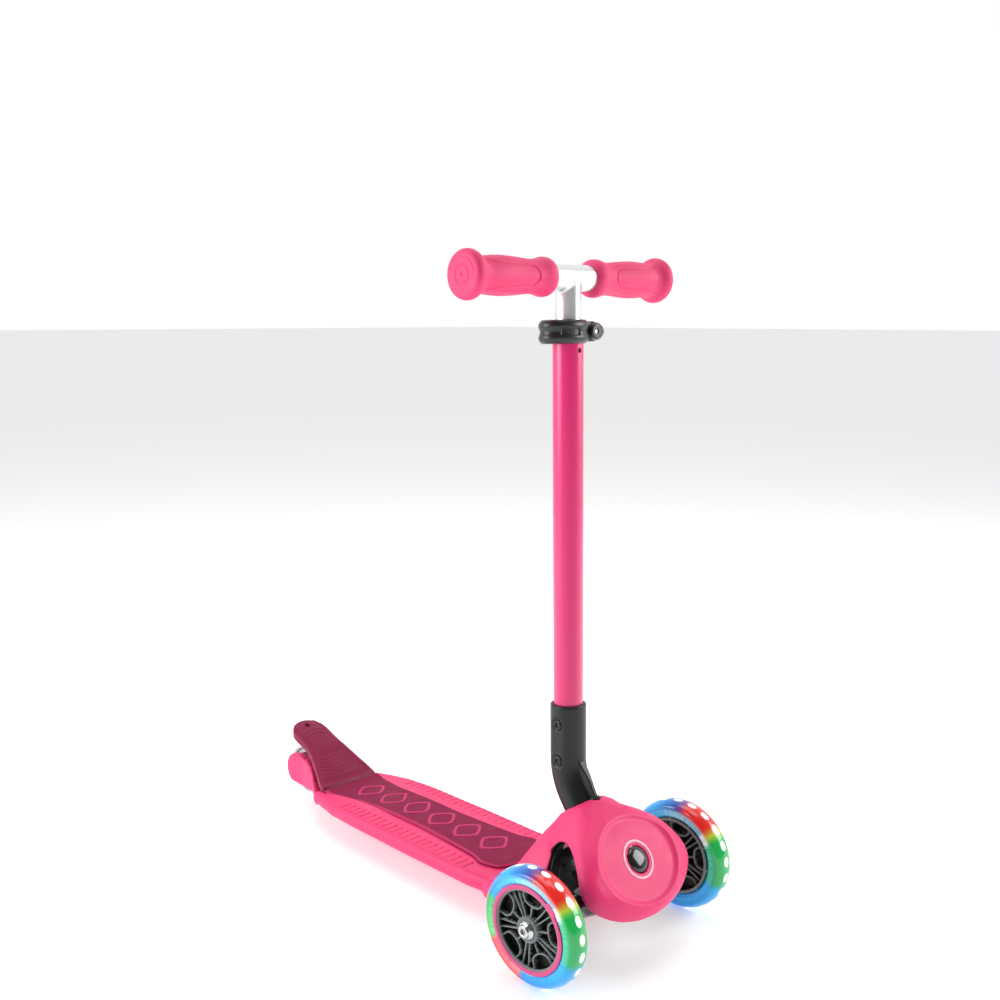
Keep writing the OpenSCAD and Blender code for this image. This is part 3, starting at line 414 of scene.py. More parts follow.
fine, groove_fine = ((1.6, 1.25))
grid_y = np.concatenate([np.arange(-82, 125, fine), np.arange(125.3, 420, groove_fine),
                         np.arange(420.5, 548, fine)])
points, faces = skin(moulding, centred(-90, 90.1, fine + 0.2), grid_y, np.arange(14.7, 166, fine))
body_moulding = from_axle("body_moulding", points, faces)
pink, pink_marbled = (0.90, 0.030, 0.170), (0.88, 0.045, 0.195)
pink_paint = paint("pink_plastic", pink, 0.45, Specular_IOR_Level=0.4)
body_moulding.data.materials.append(pink_paint)
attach(body_moulding, "deck_frame")
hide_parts("deck", "neck_shell", "nose_hood")


def mixed(tree, share, first, second):
    """The colour between two colours, by a share that is 0 at the first and 1 at the second."""
    return node_of(tree, "ShaderNodeMix", [(0, share), (6, first), (7, second)], data_type="RGBA").outputs[2]


def grain(material, size, depth, rough, colour=None, stretch=(1, 1, 1)):
    """Fine surface grain: noise of a grain size in mm gives a bump of a depth in mm. A second noise, forty
    times as large, moves the roughness between two values, and the base colour a little way towards a
    second one."""
    tree = material.node_tree
    shader = tree.nodes["Principled BSDF"]
    place = node_of(tree, "ShaderNodeTexCoord").outputs["Object"]
    place = node_of(tree, "ShaderNodeMapping", [("Vector", place), ("Scale", stretch)]).outputs["Vector"]
    noise = [node_of(tree, "ShaderNodeTexNoise", [("Vector", place), ("Scale", 1/(grain_size*mm)),
                                                  ("Detail", detail)]).outputs["Fac"]
             for grain_size, detail in ((size, 3.0), (size*40, 4.0))]
    bump = node_of(tree, "ShaderNodeBump", [("Height", noise[0]), ("Strength", 1.0), ("Distance", depth*mm)])
    tree.links.new(bump.outputs["Normal"], shader.inputs["Normal"])
    worn = node_of(tree, "ShaderNodeMapRange", [("Value", noise[1]), ("From Min", 0.3), ("From Max", 0.7),
                                                ("To Min", rough[0]), ("To Max", rough[1])])
    tree.links.new(worn.outputs["Result"], shader.inputs["Roughness"])
    if colour:
        base = tuple(shader.inputs["Base Color"].default_value)
        tree.links.new(mixed(tree, noise[1], base, (*colour, 1)), shader.inputs["Base Color"])
    return noise[1]


# Painted shade: the pink skin inside the arch, on its walls and at the foot of the fold channel is painted
# black where it lies in shadow. Each point of the skin holds its share of this painted shade
broad = grain(pink_paint, 0.45, 0.05, (0.40, 0.52))
x, y, z = points.T
m, s = steer_frame(y, z)
rim = np.abs(x) - np.interp(z, [30, 45, 60, 75, 120], [61, 58, 49, 50, 54])
vault = step(1.2, 0.2, arch_form(y, m, s))*step(1, -3, rim)*step(60, 50, y)
foot = step(25.0, 24.3, np.abs(x))*step(52, 50, m)*step(-21.6, -20.8, s)*step(36, 31, s)
flank_rim = np.abs(x) - np.interp(z, [30, 45, 60, 75, 92, 105], [62, 57, 46, 37, 29, 23])
wall = step(55, 53.8, y)*step(42, 46, y)*step(1, -3, flank_rim)*step(106, 100, z)
lip = step(20.6, 19.8, np.abs(x))*step(69, 66, y)*step(50, 54, y)*step(57.6, 56.9, m)
# Painted shade: each point's share of the painted black shade, stored on the skin
layer = body_moulding.data.attributes.new("black_share", "FLOAT", "POINT")
layer.data.foreach_set("value", greatest(vault, foot, wall, lip).astype(np.float32))
tree = pink_paint.node_tree
black_share = node_of(tree, "ShaderNodeAttribute", attribute_name="black_share").outputs["Fac"]
outside = mixed(tree, broad, (*pink, 1), (*pink_marbled, 1))
# Painted shade: the pink is mixed towards near-black by each point's share
tree.links.new(mixed(tree, black_share, outside, (0.012, 0.013, 0.014, 1)),
               tree.nodes["Principled BSDF"].inputs["Base Color"])

# ---------------------------------------------------------------- grip mat
# A wine-red rubber mat lies on the deck: wide at the neck and at the brake, narrow at the waist. Its
# edge is bevelled, its face has a fine grain of small ribs, and a row of plain raised lozenges runs
# down the middle.

mat_front, mat_rear, mat_limit = 117, 434, 49.6
bevel_width, bevel_depth = 3.4, 2.3
rib_pitch, rib_height = 2.4, 0.07
lozenge_first, lozenge_last, lozenge_pitch = 150, 416, 44
lozenge_half, lozenge_reach, lozenge_height = 19, 15.5, 0.55


def grid_faces(rows, cols, close_rows=True, close_cols=True, flip=False):
    """Quads of a grid of rows by cols points, joined end to end in either direction; flip turns them over."""
    i = np.arange(rows if close_rows else rows - 1)[:, None]
    j = np.arange(cols if close_cols else cols - 1)[None, :]
    a, b = i*cols + j, ((i + 1) % rows)*cols + j
    c, d = ((i + 1) % rows)*cols + (j + 1) % cols, i*cols + (j + 1) % cols
    quad = np.stack([b, c, d, a], -1).reshape(-1, 4)
    return quad if flip else quad[:, ::-1]


def colour_points(piece, name, colours):
    """Stores one colour for each point of a piece, under an attribute's name."""
    layer = piece.data.color_attributes.new(name, "FLOAT_COLOR", "POINT")
    full = np.ones((len(colours), 4), np.float32)
    full[:, :3] = colours
    layer.data.foreach_set("color", full.ravel())


def attribute_colour(material, name, *sockets):
    """Feeds a point colour into sockets of a material's shader."""
    tree = material.node_tree
    source = node_of(tree, "ShaderNodeAttribute", attribute_name=name)
    for socket in sockets:
        tree.links.new(source.outputs["Color"], tree.nodes["Principled BSDF"].inputs[socket])


def linear(rgb):
    """Linear light from sRGB values of 0 to 255."""
    c = np.asarray(rgb, float)/255
    return np.where(c < 0.04045, c/12.92, ((c + 0.055)/1.055)**2.4)


def between(share, first, second):
    """The linear colour between two sRGB colours, by a share that is 0 at the first and 1 at the second."""
    return share*linear(second) + (1 - share)*linear(first)


def eased(at, knots, window):
    """A value between knots of (place, value), with the corners eased by averaging over a window."""
    knots = np.array(knots, float)
    shifts = np.linspace(-window, window, 9)
    return np.mean([np.interp(at + shift, knots[:, 0], knots[:, 1]) for shift in shifts], 0)


def mat_half_width(y):
    """Half the mat's width at a distance behind the front axle."""
    return eased(y, [(110, 33), (122, 39), (140, 43.4), (147, 44), (156, 41.5), (164, 38.2), (195, 35.1),
                     (228, 32.8), (261, 30.8), (298, 31.2), (334, 31.7), (372, 33.5), (405, 39), (424, 43),
                     (445, 44)], 4)


def mat_top(y):
    """Height of the mat's face: a camber along the deck that lifts at the end to meet the brake."""
    s = (y - 290)/100
    return np.maximum(50.2 - 2.54*s - 2.86*s*s, deck_crown(y) + 0.6) + 2.6*step(414, mat_rear, y)


rows, cols = ((430, 104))
along = mat_front + (mat_rear - mat_front)*np.linspace(0, 1, rows)[:, None]
across = np.sin(np.linspace(-math.pi/2, math.pi/2, cols))[None, :]
half = mat_half_width(along)
# The front edge bows back towards its corners
x = across*half
y = along + 10*across*across*np.clip(1 - (along - mat_front)/70, 0, 1)**2
edge = np.minimum(half*(1 - np.abs(across)), np.minimum(along - mat_front, mat_rear - along))
from_lozenge = np.abs((along - lozenge_first) % lozenge_pitch - lozenge_pitch/2)
lozenge = (np.abs(x)/lozenge_half)**1.25 + (from_lozenge/lozenge_reach)**1.25 - 1
ring = step(0.20, 0.10, np.abs(lozenge))
ring = ring*step(lozenge_first, lozenge_first + 2, along)*step(lozenge_last, lozenge_last - 2, along)
height = np.minimum(mat_top(y), mat_limit) + lozenge_height*ring
height = height - bevel_depth*np.clip(1 - edge/bevel_width, 0, 1)**1.6
height = height + rib_height*np.cos(along*2*math.pi/rib_pitch)*step(3.0, 4.2, edge)*(1 - ring)
under = 0*height + deck_crown(y) - 1.0
# Each row runs over the mat and back beneath it
grid = np.stack([np.concatenate([face, back[:, ::-1]], 1)
                 for face, back in ((x, x), (y, y), (height, under))], -1)
faces = grid_faces(rows, 2*cols, close_rows=False).tolist()
faces += [list(range(2*cols))[::-1], list(range((rows - 1)*2*cols, rows*2*cols))]
grip_mat = from_axle("grip_mat", grid.reshape(-1, 3), faces)
pale = np.concatenate([np.maximum(ring, 0.8*step(3.6, 2.6, edge)), 0*ring], 1).reshape(-1, 1)
colour_points(grip_mat, "mat_colour", between(pale, (138, 16, 66), (205, 55, 112)))
mat_paint = paint("mat_rubber", (0.30, 0.018, 0.085), 0.62, Specular_IOR_Level=0.2)
grain(mat_paint, 0.35, 0.12, (0.55, 0.7))
attribute_colour(mat_paint, "mat_colour", "Base Color")
grip_mat.data.materials.append(mat_paint)
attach(grip_mat, "deck_frame")
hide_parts("deck_mat")

# ---------------------------------------------------------------- front wheels
# Each front wheel is a black nylon hub with five looped spokes, a pink trim ring pressed on its
# outer face, and a clear cast tyre. Lamps in the tyre glow through it in bands of colour, and
# white oval lenses stand in a row round its crown.

wheel_r = axle_h
lens_count, lens_first, lens_depth = 21, 12, 0.5
lens_half_length, lens_half_width = 5.4, 3.4
loop_count, loop_first, rib_spread = 5, 6, 5.5
hub_floor, rib_rise, boss_height, rim_height = 1.5, 7.1, 11.6, 12.0
trim_inner, trim_outer, tab_reach = 40.4, 45.1, 3.2


def ring_angle(n):
    """n angles of a full turn about a wheel's axle: 0 is up, and they grow towards the front."""
    return np.arange(n)*2*math.pi/n


def from_nearest(angle, count, first=0):
    """Angle from the nearest of a count of places evenly round a turn, the first at so many degrees."""
    pitch = 2*math.pi/count
    return (angle - math.radians(first) + pitch/2) % pitch - pitch/2


def turned(radius, along, angle, side, centre):
    """Points of a wheel's surface in metres from radius and distance outwards along the axle, both in mm."""
    x = centre[0]/mm + side*along + 0*radius
    y = centre[1]/mm - radius*np.sin(angle)
    z = centre[2]/mm + radius*np.cos(angle)
    return np.stack([x, y, z], -1)*mm


def stops(angle, table):
    """Colour round the wheel: between the degrees in a table of (degree, red, green, blue)."""
    table = np.array(table, float)
    degree = np.degrees(angle) % 360
    full = np.concatenate([table - [360, 0, 0, 0], table, table + [360, 0, 0, 0]])
    return linear(np.stack([np.interp(degree, full[:, 0], full[:, k]) for k in (1, 2, 3)], -1))


crown_colours = [(4, 120, 60, 150), (12, 225, 45, 45), (40, 222, 40, 30), (50, 190, 200, 60),
                 (58, 30, 175, 80), (104, 0, 165, 90), (112, 0, 160, 225), (184, 0, 130, 225),
                 (192, 235, 60, 70), (238, 230, 45, 60), (244, 90, 190, 90), (288, 30, 160, 80),
                 (296, 0, 130, 215), (332, 0, 165, 240), (354, 0, 100, 190)]
wall_colours = [(4, 150, 210, 235), (40, 120, 185, 205), (46, 225, 240, 245), (56, 225, 240, 245),
                (62, 60, 190, 150), (104, 40, 185, 160), (112, 0, 170, 240), (184, 0, 150, 230),
                (192, 240, 120, 130), (238, 235, 90, 100), (244, 120, 205, 130), (288, 70, 185, 120),
                (296, 20, 160, 235), (332, 60, 190, 250), (354, 140, 215, 245)]


def chain_length(knots):
    """How far each knot lies along a chain of knots: the sum of the distances between them."""
    return np.concatenate([[0], np.cumsum(np.hypot(*np.diff(knots, axis=0).T))])


def tyre_section(knots, n, foot):
    """A tyre's section as radius and distance along the axle: n equal steps along the knots of one half and
    their mirror image, closed by a flat foot of a given half-width inside the rim."""
    near = np.array(knots)
    far = near[::-1]*[1, -1]
    knots = np.concatenate([near, far[far[:, 1] > 0]])
    length = chain_length(knots)
    at = np.linspace(0, length[-1], n)
    radius = np.append(np.interp(at, length, knots[:, 0]), [near[0, 0]]*2)
    along = np.append(np.interp(at, length, knots[:, 1]), [foot, -foot])
    return radius[None, :], along[None, :]


def make_tyre(name, side, centre, body, node_names):
    """A tyre turned round the axle: bulging side walls with a shallow ring groove under a round crown, which
    is pressed in at each oval lens. Its colour runs from the walls' bands to the crown's, white in a lens."""
    turns, across = ((336, 57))
    radius, along = tyre_section([(43.0, -9.6), (44.6, -10.6), (46.2, -12.0), (48.6, -12.6), (50.4, -12.3),
                                  (51.2, -12.5), (53.2, -12.7), (55.6, -11.9), (57.8, -9.6), (59.4, -6.6),
                                  (60.25, -3.3), (wheel_r, 0)], across, 9.0)
    angle = ring_angle(turns)[:, None]
    off = from_nearest(angle, lens_count, lens_first)
    lens = np.hypot(off*wheel_r/lens_half_length, along/lens_half_width)**2.4
    inset = np.clip((1.15 - np.where(radius > 55, lens, 9))/0.3, 0, 1)
    r = radius - lens_depth*inset
    angle = angle + 0*r
    points = turned(r, along, angle, side, centre)
    tyre = bare_mesh(name, points.reshape(-1, 3), grid_faces(turns, across + 2, flip=side > 0))
    share = step(49.5, 54.5, r)[..., None]
    tint = stops(angle, wall_colours)*(1 - share) + stops(angle, crown_colours)*share
    ripple = 0.9 + 0.1*np.sin(angle*63 + 3*np.sin(angle*11))[..., None]*(1 - share)
    glow = inset[..., None]**0.7
    tint = tint*ripple*(1 - glow) + glow*np.array([0.98, 1.0, 0.97])
    colour_points(tyre, "lamp_colour", tint.reshape(-1, 3))
    tyre.data.materials.append(tyre_paint)
    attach(tyre, body)
    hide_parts(*node_names)


tyre_paint = paint("clear_lit_tyre", (0.5, 0.8, 0.95), 0.16, Emission_Strength=0.30, Coat_Weight=0.5,
                   Coat_Roughness=0.06, IOR=1.5)
attribute_colour(tyre_paint, "lamp_colour", "Base Color", "Emission Color")


def near_curve(y, z, centre, half, power):
    """Distance in mm, near the line, from a rounded-square outline of given half sizes about a centre."""
    k = (np.abs((y - centre[0])/half[0])**power + np.abs((z - centre[1])/half[1])**power)**(1/power)
    return np.abs(k - 1)*min(half)*0.92


def near_line(y, z, a, b):
    """Distance in mm from the line between two points."""
    ab = np.subtract(b, a)
    t = np.clip(((y - a[0])*ab[0] + (z - a[1])*ab[1])/(ab @ ab), 0, 1)
    return np.hypot(y - a[0] - t*ab[0], z - a[1] - t*ab[1])


def hub_ribs(radius, angle):
    """Distance from the nearest rib: in each fifth of the hub one loop stands on the rim, one rib ties it to
    the boss, and a pair of ribs runs from boss to rim beside it."""
    a = from_nearest(angle, loop_count, loop_first)
    y, z = radius*np.sin(a), radius*np.cos(a)
    loop = near_curve(y, z, (0, 38.0), (12.4, 13.2), 2.7)
    ribs = np.minimum(loop, near_line(y, z, (0, 12), (0, 25)))
    for way in (-1, 1):
        turn = way*math.radians(180/loop_count - rib_spread)
        ribs = np.minimum(ribs, near_line(y, z, (13*math.sin(turn*0.9), 13*math.cos(turn*0.9)),
                                          (40*math.sin(turn), 40*math.cos(turn))))
    return ribs


def make_hub(name, side, centre, body, node_names):
    """A hub: heights over a polar grid on both faces, joined round the edge: the floor, then the ribs, a boss
    and a raised rim that stand on it. The top edges of all three are painted paler, a painted highlight."""
    turns, steps = ((420, 56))
    radius = np.concatenate([[8.3, 9.0], np.linspace(9.8, 38.2, steps),
                             [38.5, 38.9, 39.5, 40.6, 41.2, 41.9, 42.4, 42.7]])[None, :]
    angle = ring_angle(turns)[:, None]
    high = step(1.2, 0.6, hub_ribs(radius, angle))
    boss = boss_height*step(13.6, 12.9, radius)
    rim = np.interp(radius, [38.1, 38.6, 39.2, 41.0, 42.2, 42.7],
                    [0, rim_height - 1, rim_height, rim_height, 10.6, 10.2])
    height = greatest(hub_floor + rib_rise*high, boss, rim)
    both = np.concatenate([radius, radius[:, ::-1]], 1)
    along = np.concatenate([height, -height[:, ::-1]], 1)
    points = turned(both, along, angle + 0*along, side, centre)
    hub = bare_mesh(name, points.reshape(-1, 3), grid_faces(turns, both.size, flip=side < 0))
    # Painted highlight: the tops of the ribs, the top of the rim and the edge of the boss are painted pale
    # grey
    edge = greatest(high*step(6.5, 8.2, height), step(38.3, 38.9, radius)*step(10.4, 11.4, height),
                  0.75*step(13.4, 12.9, radius))
    edge = np.concatenate([edge, edge[:, ::-1]], 1).reshape(-1, 1)
    colour_points(hub, "edge_colour", between(edge, (9, 10, 11), (128, 134, 134)))
    hub.data.materials.append(hub_paint)
    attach(hub, body)
    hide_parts(*node_names)


hub_paint = paint("hub_nylon", (0.02, 0.02, 0.02), 0.42, Specular_IOR_Level=0.35)
# The hub's base colour carries the painted highlight on its raised edges
attribute_colour(hub_paint, "edge_colour", "Base Color")


def make_trim(name, side, centre, body, node_names):
    """The trim ring: a flat band with rounded edges, whose outer edge steps out in one square tab."""
    turns = 300
    angle = ring_angle(turns)[:, None]
    degree = np.degrees(angle)
    tab = step(33.5, 35.5, degree)*step(51.5, 49.5, degree)
    across = np.array([0, 0.03, 0.12, 0.88, 0.97, 1.0, 1.0, 0.5, 0.0])[None, :]
    lift = np.array([12.3, 12.75, 13.0, 13.0, 12.75, 12.3, 10.7, 10.7, 10.7])[None, :]
    radius = trim_inner + (trim_outer + tab_reach*tab - trim_inner)*across
    points = turned(radius, lift + 0*radius, angle + 0*radius, side, centre)
    ring = bare_mesh(name, points.reshape(-1, 3), grid_faces(turns, across.size, flip=side < 0))
    ring.data.materials.append(trim_paint)
    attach(ring, body)
    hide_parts(*node_names)


trim_paint = paint("trim_pink", tuple(linear((214, 62, 128))), 0.32, Coat_Weight=0.3)


def placed(name, points, faces, matrix):
    """A piece from points in mm in its own frame, moved into place by a matrix in metres."""
    points = points.reshape(-1, 3)*mm @ np.array(matrix.to_3x3()).T + np.array(matrix.translation)
    return bare_mesh(name, points, faces)


def capped_faces(turns, cols, flip=False):
    """Quads of a turned piece whose rows run from pole to pole, and a polygon over each pole."""
    first, last = list(range(0, turns*cols, cols)), list(range(cols - 1, turns*cols, cols))
    caps = [first[::-1], last] if flip else [first, last[::-1]]
    return grid_faces(turns, cols, close_cols=False, flip=flip).tolist() + caps


def about_z(radius, height, angle):
    """Points at a radius and a height, turned about the Z axis by an angle."""
    return np.stack([radius*np.cos(angle), radius*np.sin(angle), height + 0*angle], -1)


def socket_head(name, matrix, hexagon_r, depth, profile):
    """A turned head with a hexagonal socket: the profile, of radius and height in mm, runs from the socket's
    rim outwards and down; its local Z axis points out of the head."""
    turns = 96
    angle = ring_angle(turns)[:, None]
    hexagon = hexagon_r*0.87/np.cos(from_nearest(angle, 6))
    top = profile[0][1]
    outline = np.array(list(profile) + [(0.02, profile[-1][1])])
    radius = np.concatenate([np.full((turns, 1), 0.02), hexagon*0.8, hexagon, hexagon, hexagon + 0.3,
                             outline[None, :, 0] + 0*angle], 1)
    floor = top - depth
    height = np.concatenate([[floor, floor, floor + 0.2, top - 0.3, top], outline[:, 1]])[None, :]
    return placed(name, about_z(radius, height, angle), capped_faces(turns, radius.shape[1]), matrix)


chrome_paint = paint("bright_chrome", (0.58, 0.60, 0.61), 0.16, Metallic=1.0)
grain(chrome_paint, 0.3, 0.01, (0.12, 0.24))
for word, side in (("left", 1), ("right", -1)):
    low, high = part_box(word + "_tyre")
    centre = ((low.x + high.x)/2, front_axle_y, (low.z + high.z)/2)
    body = "front_wheel_" + word
    make_tyre(word + "_cast_tyre", side, centre, body, (word + "_tyre", word + "_light_ring"))
    make_hub(word + "_spoked_hub", side, centre, body, (word + "_hub",))
    make_trim(word + "_trim_band", side, centre, body, (word + "_trim_ring",))
    out = Matrix.Translation(centre) @ Matrix.Rotation(side*math.pi/2, 4, "Y")
    bolt = socket_head(word + "_axle_bolt", out, 3.4, 3.0,
                       [(5.6, 17.6), (6.1, 17.3), (6.4, 16.7), (6.5, 15.2), (6.9, 15.0), (8.2, 14.2),
                        (9.2, 13.0), (9.5, 12.5), (9.5, 11.9), (4.0, 11.9), (4.0, -40.0)])
    bolt.data.materials.append(chrome_paint)
    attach(bolt, "truck")
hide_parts("front_axle_bolts")

# ---------------------------------------------------------------- rear wheel
# A solid clear tyre on a grey hub. Dark air pockets show through the tread, and the pink arms and the
# fender hide most of the wheel.

pocket_count, pocket_row, pocket_depth = 18, 7.2, 0.45
pocket_half_length, pocket_half_width = 3.4, 2.6

rear_centre = ((rear_low.x + rear_high.x)/2, (rear_low.y + rear_high.y)/2, (rear_low.z + rear_high.z)/2)
turns, across = 240, 41
radius, along = tyre_section([(29.6, -11.2), (31.5, -12.1), (34.0, -12.35), (36.6, -11.7), (38.6, -9.8),
                              (39.7, -6.4), (40.0, -2.5)], across, 10.6)
angle = ring_angle(turns)[:, None]
pocket = np.hypot(from_nearest(angle, pocket_count)*38/pocket_half_length,
                  (np.abs(along) - pocket_row)/pocket_half_width)
pocket = np.clip((1.15 - pocket)/0.3, 0, 1)*(radius > 34)
wheel_points = turned(radius - pocket_depth*pocket, along, angle + 0*pocket, 1, rear_centre)
rear_tyre = bare_mesh("rear_cast_tyre", wheel_points.reshape(-1, 3), grid_faces(turns, across + 2, flip=True))
colour_points(rear_tyre, "pocket_colour", between(pocket.reshape(-1, 1), (222, 234, 238), (70, 92, 98)))
rear_paint = paint("clear_rear_tyre", (0.7, 0.8, 0.85), 0.2, Coat_Weight=0.6, Coat_Roughness=0.08)
attribute_colour(rear_paint, "pocket_colour", "Base Color")
rear_tyre.data.materials.append(rear_paint)
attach(rear_tyre, "rear_wheel")
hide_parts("rear_tyre")

# ---------------------------------------------------------------- brake fender
# One wine-red moulding hinged at the end of the deck. It rises over the rear tyre as a curved plate
# with turned-down edges, and pressing it rubs on the tread. A hole in its tip hangs the scooter up.

hinge_y, hinge_z = 438, 32
hinge_pin_r, knuckle_r, knuckle_half = 2.6, 6.4, 36.5
hang_hole_y, hang_hole_r = 527.5, 3.9
plate_thick, skirt_depth, skirt_thick = 4.6, 8.5, 4.0
flute_pitch, flute_first, flute_last = 5.2, 443, 475
tail_rib_radii, tail_y = (22, 28), 486


def fender_top(y):
    """Height of the fender's face along its middle."""
    return eased(y, [(425, 35), (436, 45.0), (447, 54), (467.5, 68), (483, 78.6), (500, 86.8), (515, 92.8),
                     (527, 96.4), (540, 99.2), (550, 101)], 3)


def fender_relief(x, y, inner):
    """Relief on the fender's face: a rib along each side, two round the tail, and flutes across the foot."""
    rib = 0.7*step(1.5, 0.6, np.abs(inner - 6.2))
    tail = np.hypot(x, (y - tail_y)*0.9)
    for tail_r in tail_rib_radii:
        rib = rib + 0.6*step(1.5, 0.5, np.abs(tail - tail_r))*step(8.5, 10, inner)*step(tail_y, tail_y + 4, y)
    wave = np.cos((y - 441 - 0.006*x*x)*2*math.pi/flute_pitch)
    fluted = step(flute_first, flute_first + 2, y)*step(flute_last, flute_last - 2, y)*step(10, 12, inner)
    return rib - 0.75*step(0.2, 0.9, wave)*fluted


def fender(x, y, z):
    """Signed distance in mm: a bent plate with a crowned face and skirts at its sides, the hinge knuckles
    at its foot, ribs and grooves on its face, and a hole through it."""
    ax = np.abs(x)
    half = eased(y, [(425, 43.5), (436, 43.2), (445, 41.5), (461, 35.3), (485, 26.9), (499, 24.6),
                     (518, 24.8), (530, 23.5), (542, 20)], 3)
    inner = half - ax
    face = (z - fender_top(y) + 3.0*(ax/half)**3)*0.83
    plate = round_cut(face - fender_relief(x, y, inner), -face - plate_thick, 1.0)
    skirt = round_cut(face, -face - skirt_depth, 1.2)
    plate = np.minimum(plate, round_cut(skirt, inner - skirt_thick, 0.8))
    plate = round_cut(plate, -inner, 1.6)
    # The plate's end is half an oval
    plate = round_cut(plate, np.where(y > 524, oval(x, y - 518, 25.4, 22.5), -9), 1.2)
    plate = round_cut(plate, 434.4 - y, 1)
    foot = round_cut(ax - 41.0, np.abs(y - 440.0) - 3.6, 1)
    foot = round_cut(foot, np.maximum(hinge_z - 4 - z, z - 47), 1)
    from_hinge = np.hypot(y - hinge_y, z - hinge_z)
    knuckle = np.maximum(from_hinge - knuckle_r, ax - knuckle_half)
    body = round_join(plate, np.minimum(foot, knuckle), 2)
    body = round_cut(body, hinge_pin_r - from_hinge, 0.3)
    tyre_room = np.maximum(ax - 14.6, np.hypot(y - wheelbase, z - rear_axle_h) - 43.2)
    body = round_cut(body, -tyre_room, 0.8)
    return round_cut(body, hang_hole_r - np.hypot(x, y - hang_hole_y), 0.6)


fine = 1.15
points, faces = skin(fender, centred(-46, 46.1, fine), np.arange(431, 545, fine), np.arange(23, 103.5, fine))
brake_plate = from_axle("brake_plate", points, faces)
fender_paint = paint("fender_plastic", tuple(linear((146, 18, 70))), 0.42, Specular_IOR_Level=0.25)
grain(fender_paint, 0.4, 0.05, (0.36, 0.5), tuple(linear((128, 14, 60))))
brake_plate.data.materials.append(fender_paint)
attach(brake_plate, "brake")
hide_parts("brake_fender", "brake_root")

# ---------------------------------------------------------------- fold button
# A glossy black button sits in the middle of the nose's dish. Pushed in, it draws the latch and the
# column folds back. A thin pale ring is printed round it.

cap_r, cap_foot, cap_stem_r, cap_stem_foot = 13.4, 42.0, 5, 38.5
dome_base, dome_rise = 50.2, 3.0


def steer_matrix(x, m, s):
    """Frame in metres on the steering axis: X to the left, Y up and back along the face, Z out of the nose.
    Its origin lies at x, m up the face and s out from the front axle, in mm."""
    out = Vector((0, -math.cos(rake), math.sin(rake)))
    up = Vector((0, math.sin(rake), math.cos(rake)))
    origin = Vector((0, front_axle_y, axle_h*mm)) + (Vector((x, 0, 0)) + m*up + s*out)*mm
    turn = Matrix((Vector((1, 0, 0)), up, out)).transposed().to_4x4()
    return Matrix.Translation(origin) @ turn


def lathe(name, profile, matrix, turns=128):
    """A closed turned piece: a profile of radius and height in mm, from the top pole to the bottom pole, is
    turned about the matrix's Z axis, and a polygon closes each pole."""
    radius, height = np.array(profile, float).T[:, None]
    points = about_z(radius, height, ring_angle(turns)[:, None])
    return placed(name, points, capped_faces(turns, len(profile)), matrix)


def ring_lathe(name, profile, matrix):
    """A turned ring: a closed profile of radius and height in mm turned about the matrix's Z axis."""
    turns = 160
    radius, height = np.array(profile, float).T[:, None]
    points = about_z(radius, height, ring_angle(turns)[:, None])
    return placed(name, points, grid_faces(turns, len(profile)), matrix)


def half_dome(across, rise, base, angles):
    """Profile points of a dome: an ellipse's radius and height at angles from its pole."""
    return [(across*math.sin(t), base + rise*math.cos(t)) for t in angles]


cap = [(0.02, dome_base + dome_rise)] + half_dome(12.2, dome_rise, dome_base, np.linspace(0.1, 1.35, 14))
cap += [(12.6, 50.3), (13.0, 49.9), (13.3, 49.2), (cap_r, 48.0), (cap_r, cap_foot), (cap_stem_r, cap_foot),
        (cap_stem_r, cap_stem_foot), (0.02, cap_stem_foot)]
fold_button = lathe("fold_button_cap", cap, steer_matrix(0, face_m, 0))
gloss_paint = paint("gloss_black", (0.012, 0.013, 0.014), 0.12, Coat_Weight=0.5, Coat_Roughness=0.05)
grain(gloss_paint, 0.6, 0.006, (0.08, 0.2))
fold_button.data.materials.append(gloss_paint)
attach(fold_button, "fold_button")
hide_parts("push_button")

band = [(17.6, 49.6), (17.7, 50.62), (17.9, 50.7), (19.6, 50.7), (19.8, 50.62), (19.9, 49.6)]
button_ring = ring_lathe("button_ring", band, steer_matrix(0, face_m, 0))
ring_paint = paint("pale_print", tuple(linear((255, 205, 214))), 0.5)
grain(ring_paint, 0.4, 0.02, (0.45, 0.6))
button_ring.data.materials.append(ring_paint)
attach(button_ring, "deck_frame")

# ---------------------------------------------------------------- button spring
# A steel coil spring between the neck's lug and the latch plate pushes the button back out. Its length is
# the button's travel and 1.5 mm more.


def coil(name, coil_r, wire_r, length, turns, matrix):
    """A coil of round wire in mm: a small circle carried along a helix about the matrix's Z axis, from 0 to
    length, with a cap at each end of the wire."""
    sides = 12
    along = np.linspace(0, 1, int(turns*28) + 1)[None, :]
    angle = ring_angle(sides)[:, None]
    radius = coil_r + wire_r*np.cos(angle) + 0*along
    height = wire_r + along*(length - 2*wire_r) + wire_r*np.sin(angle)
    points = about_z(radius, height, 2*math.pi*turns*along)
    return placed(name, points, capped_faces(sides, along.size), matrix)


spring_low, spring_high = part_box("button_spring")
spring_middle = steer_frame((spring_low.y/2 + spring_high.y/2 - front_axle_y)/mm,
                            (spring_low.z + spring_high.z)/2/mm)[1]
travel = 5.0
spring_length = travel + 1.5
spring_foot = steer_matrix(0, face_m, spring_middle - spring_length/2)
button_spring = coil("button_coil", 5.0, 0.6, spring_length, 4.5, spring_foot)
spring_steel = paint("spring_steel", (0.45, 0.45, 0.46), 0.3, Metallic=1.0)
grain(spring_steel, 0.3, 0.01, (0.22, 0.38))
button_spring.data.materials.append(spring_steel)
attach(button_spring, "deck_frame")
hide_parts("button_spring")
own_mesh(button_spring)

# ---------------------------------------------------------------- arch lining
# A black plastic lining is clipped into both sides of the arch under the neck, beside the bracket
# that carries the truck.

lining_thick, lining_gap = 2.4, 0.4
lining_half, lining_foot = 46, 31


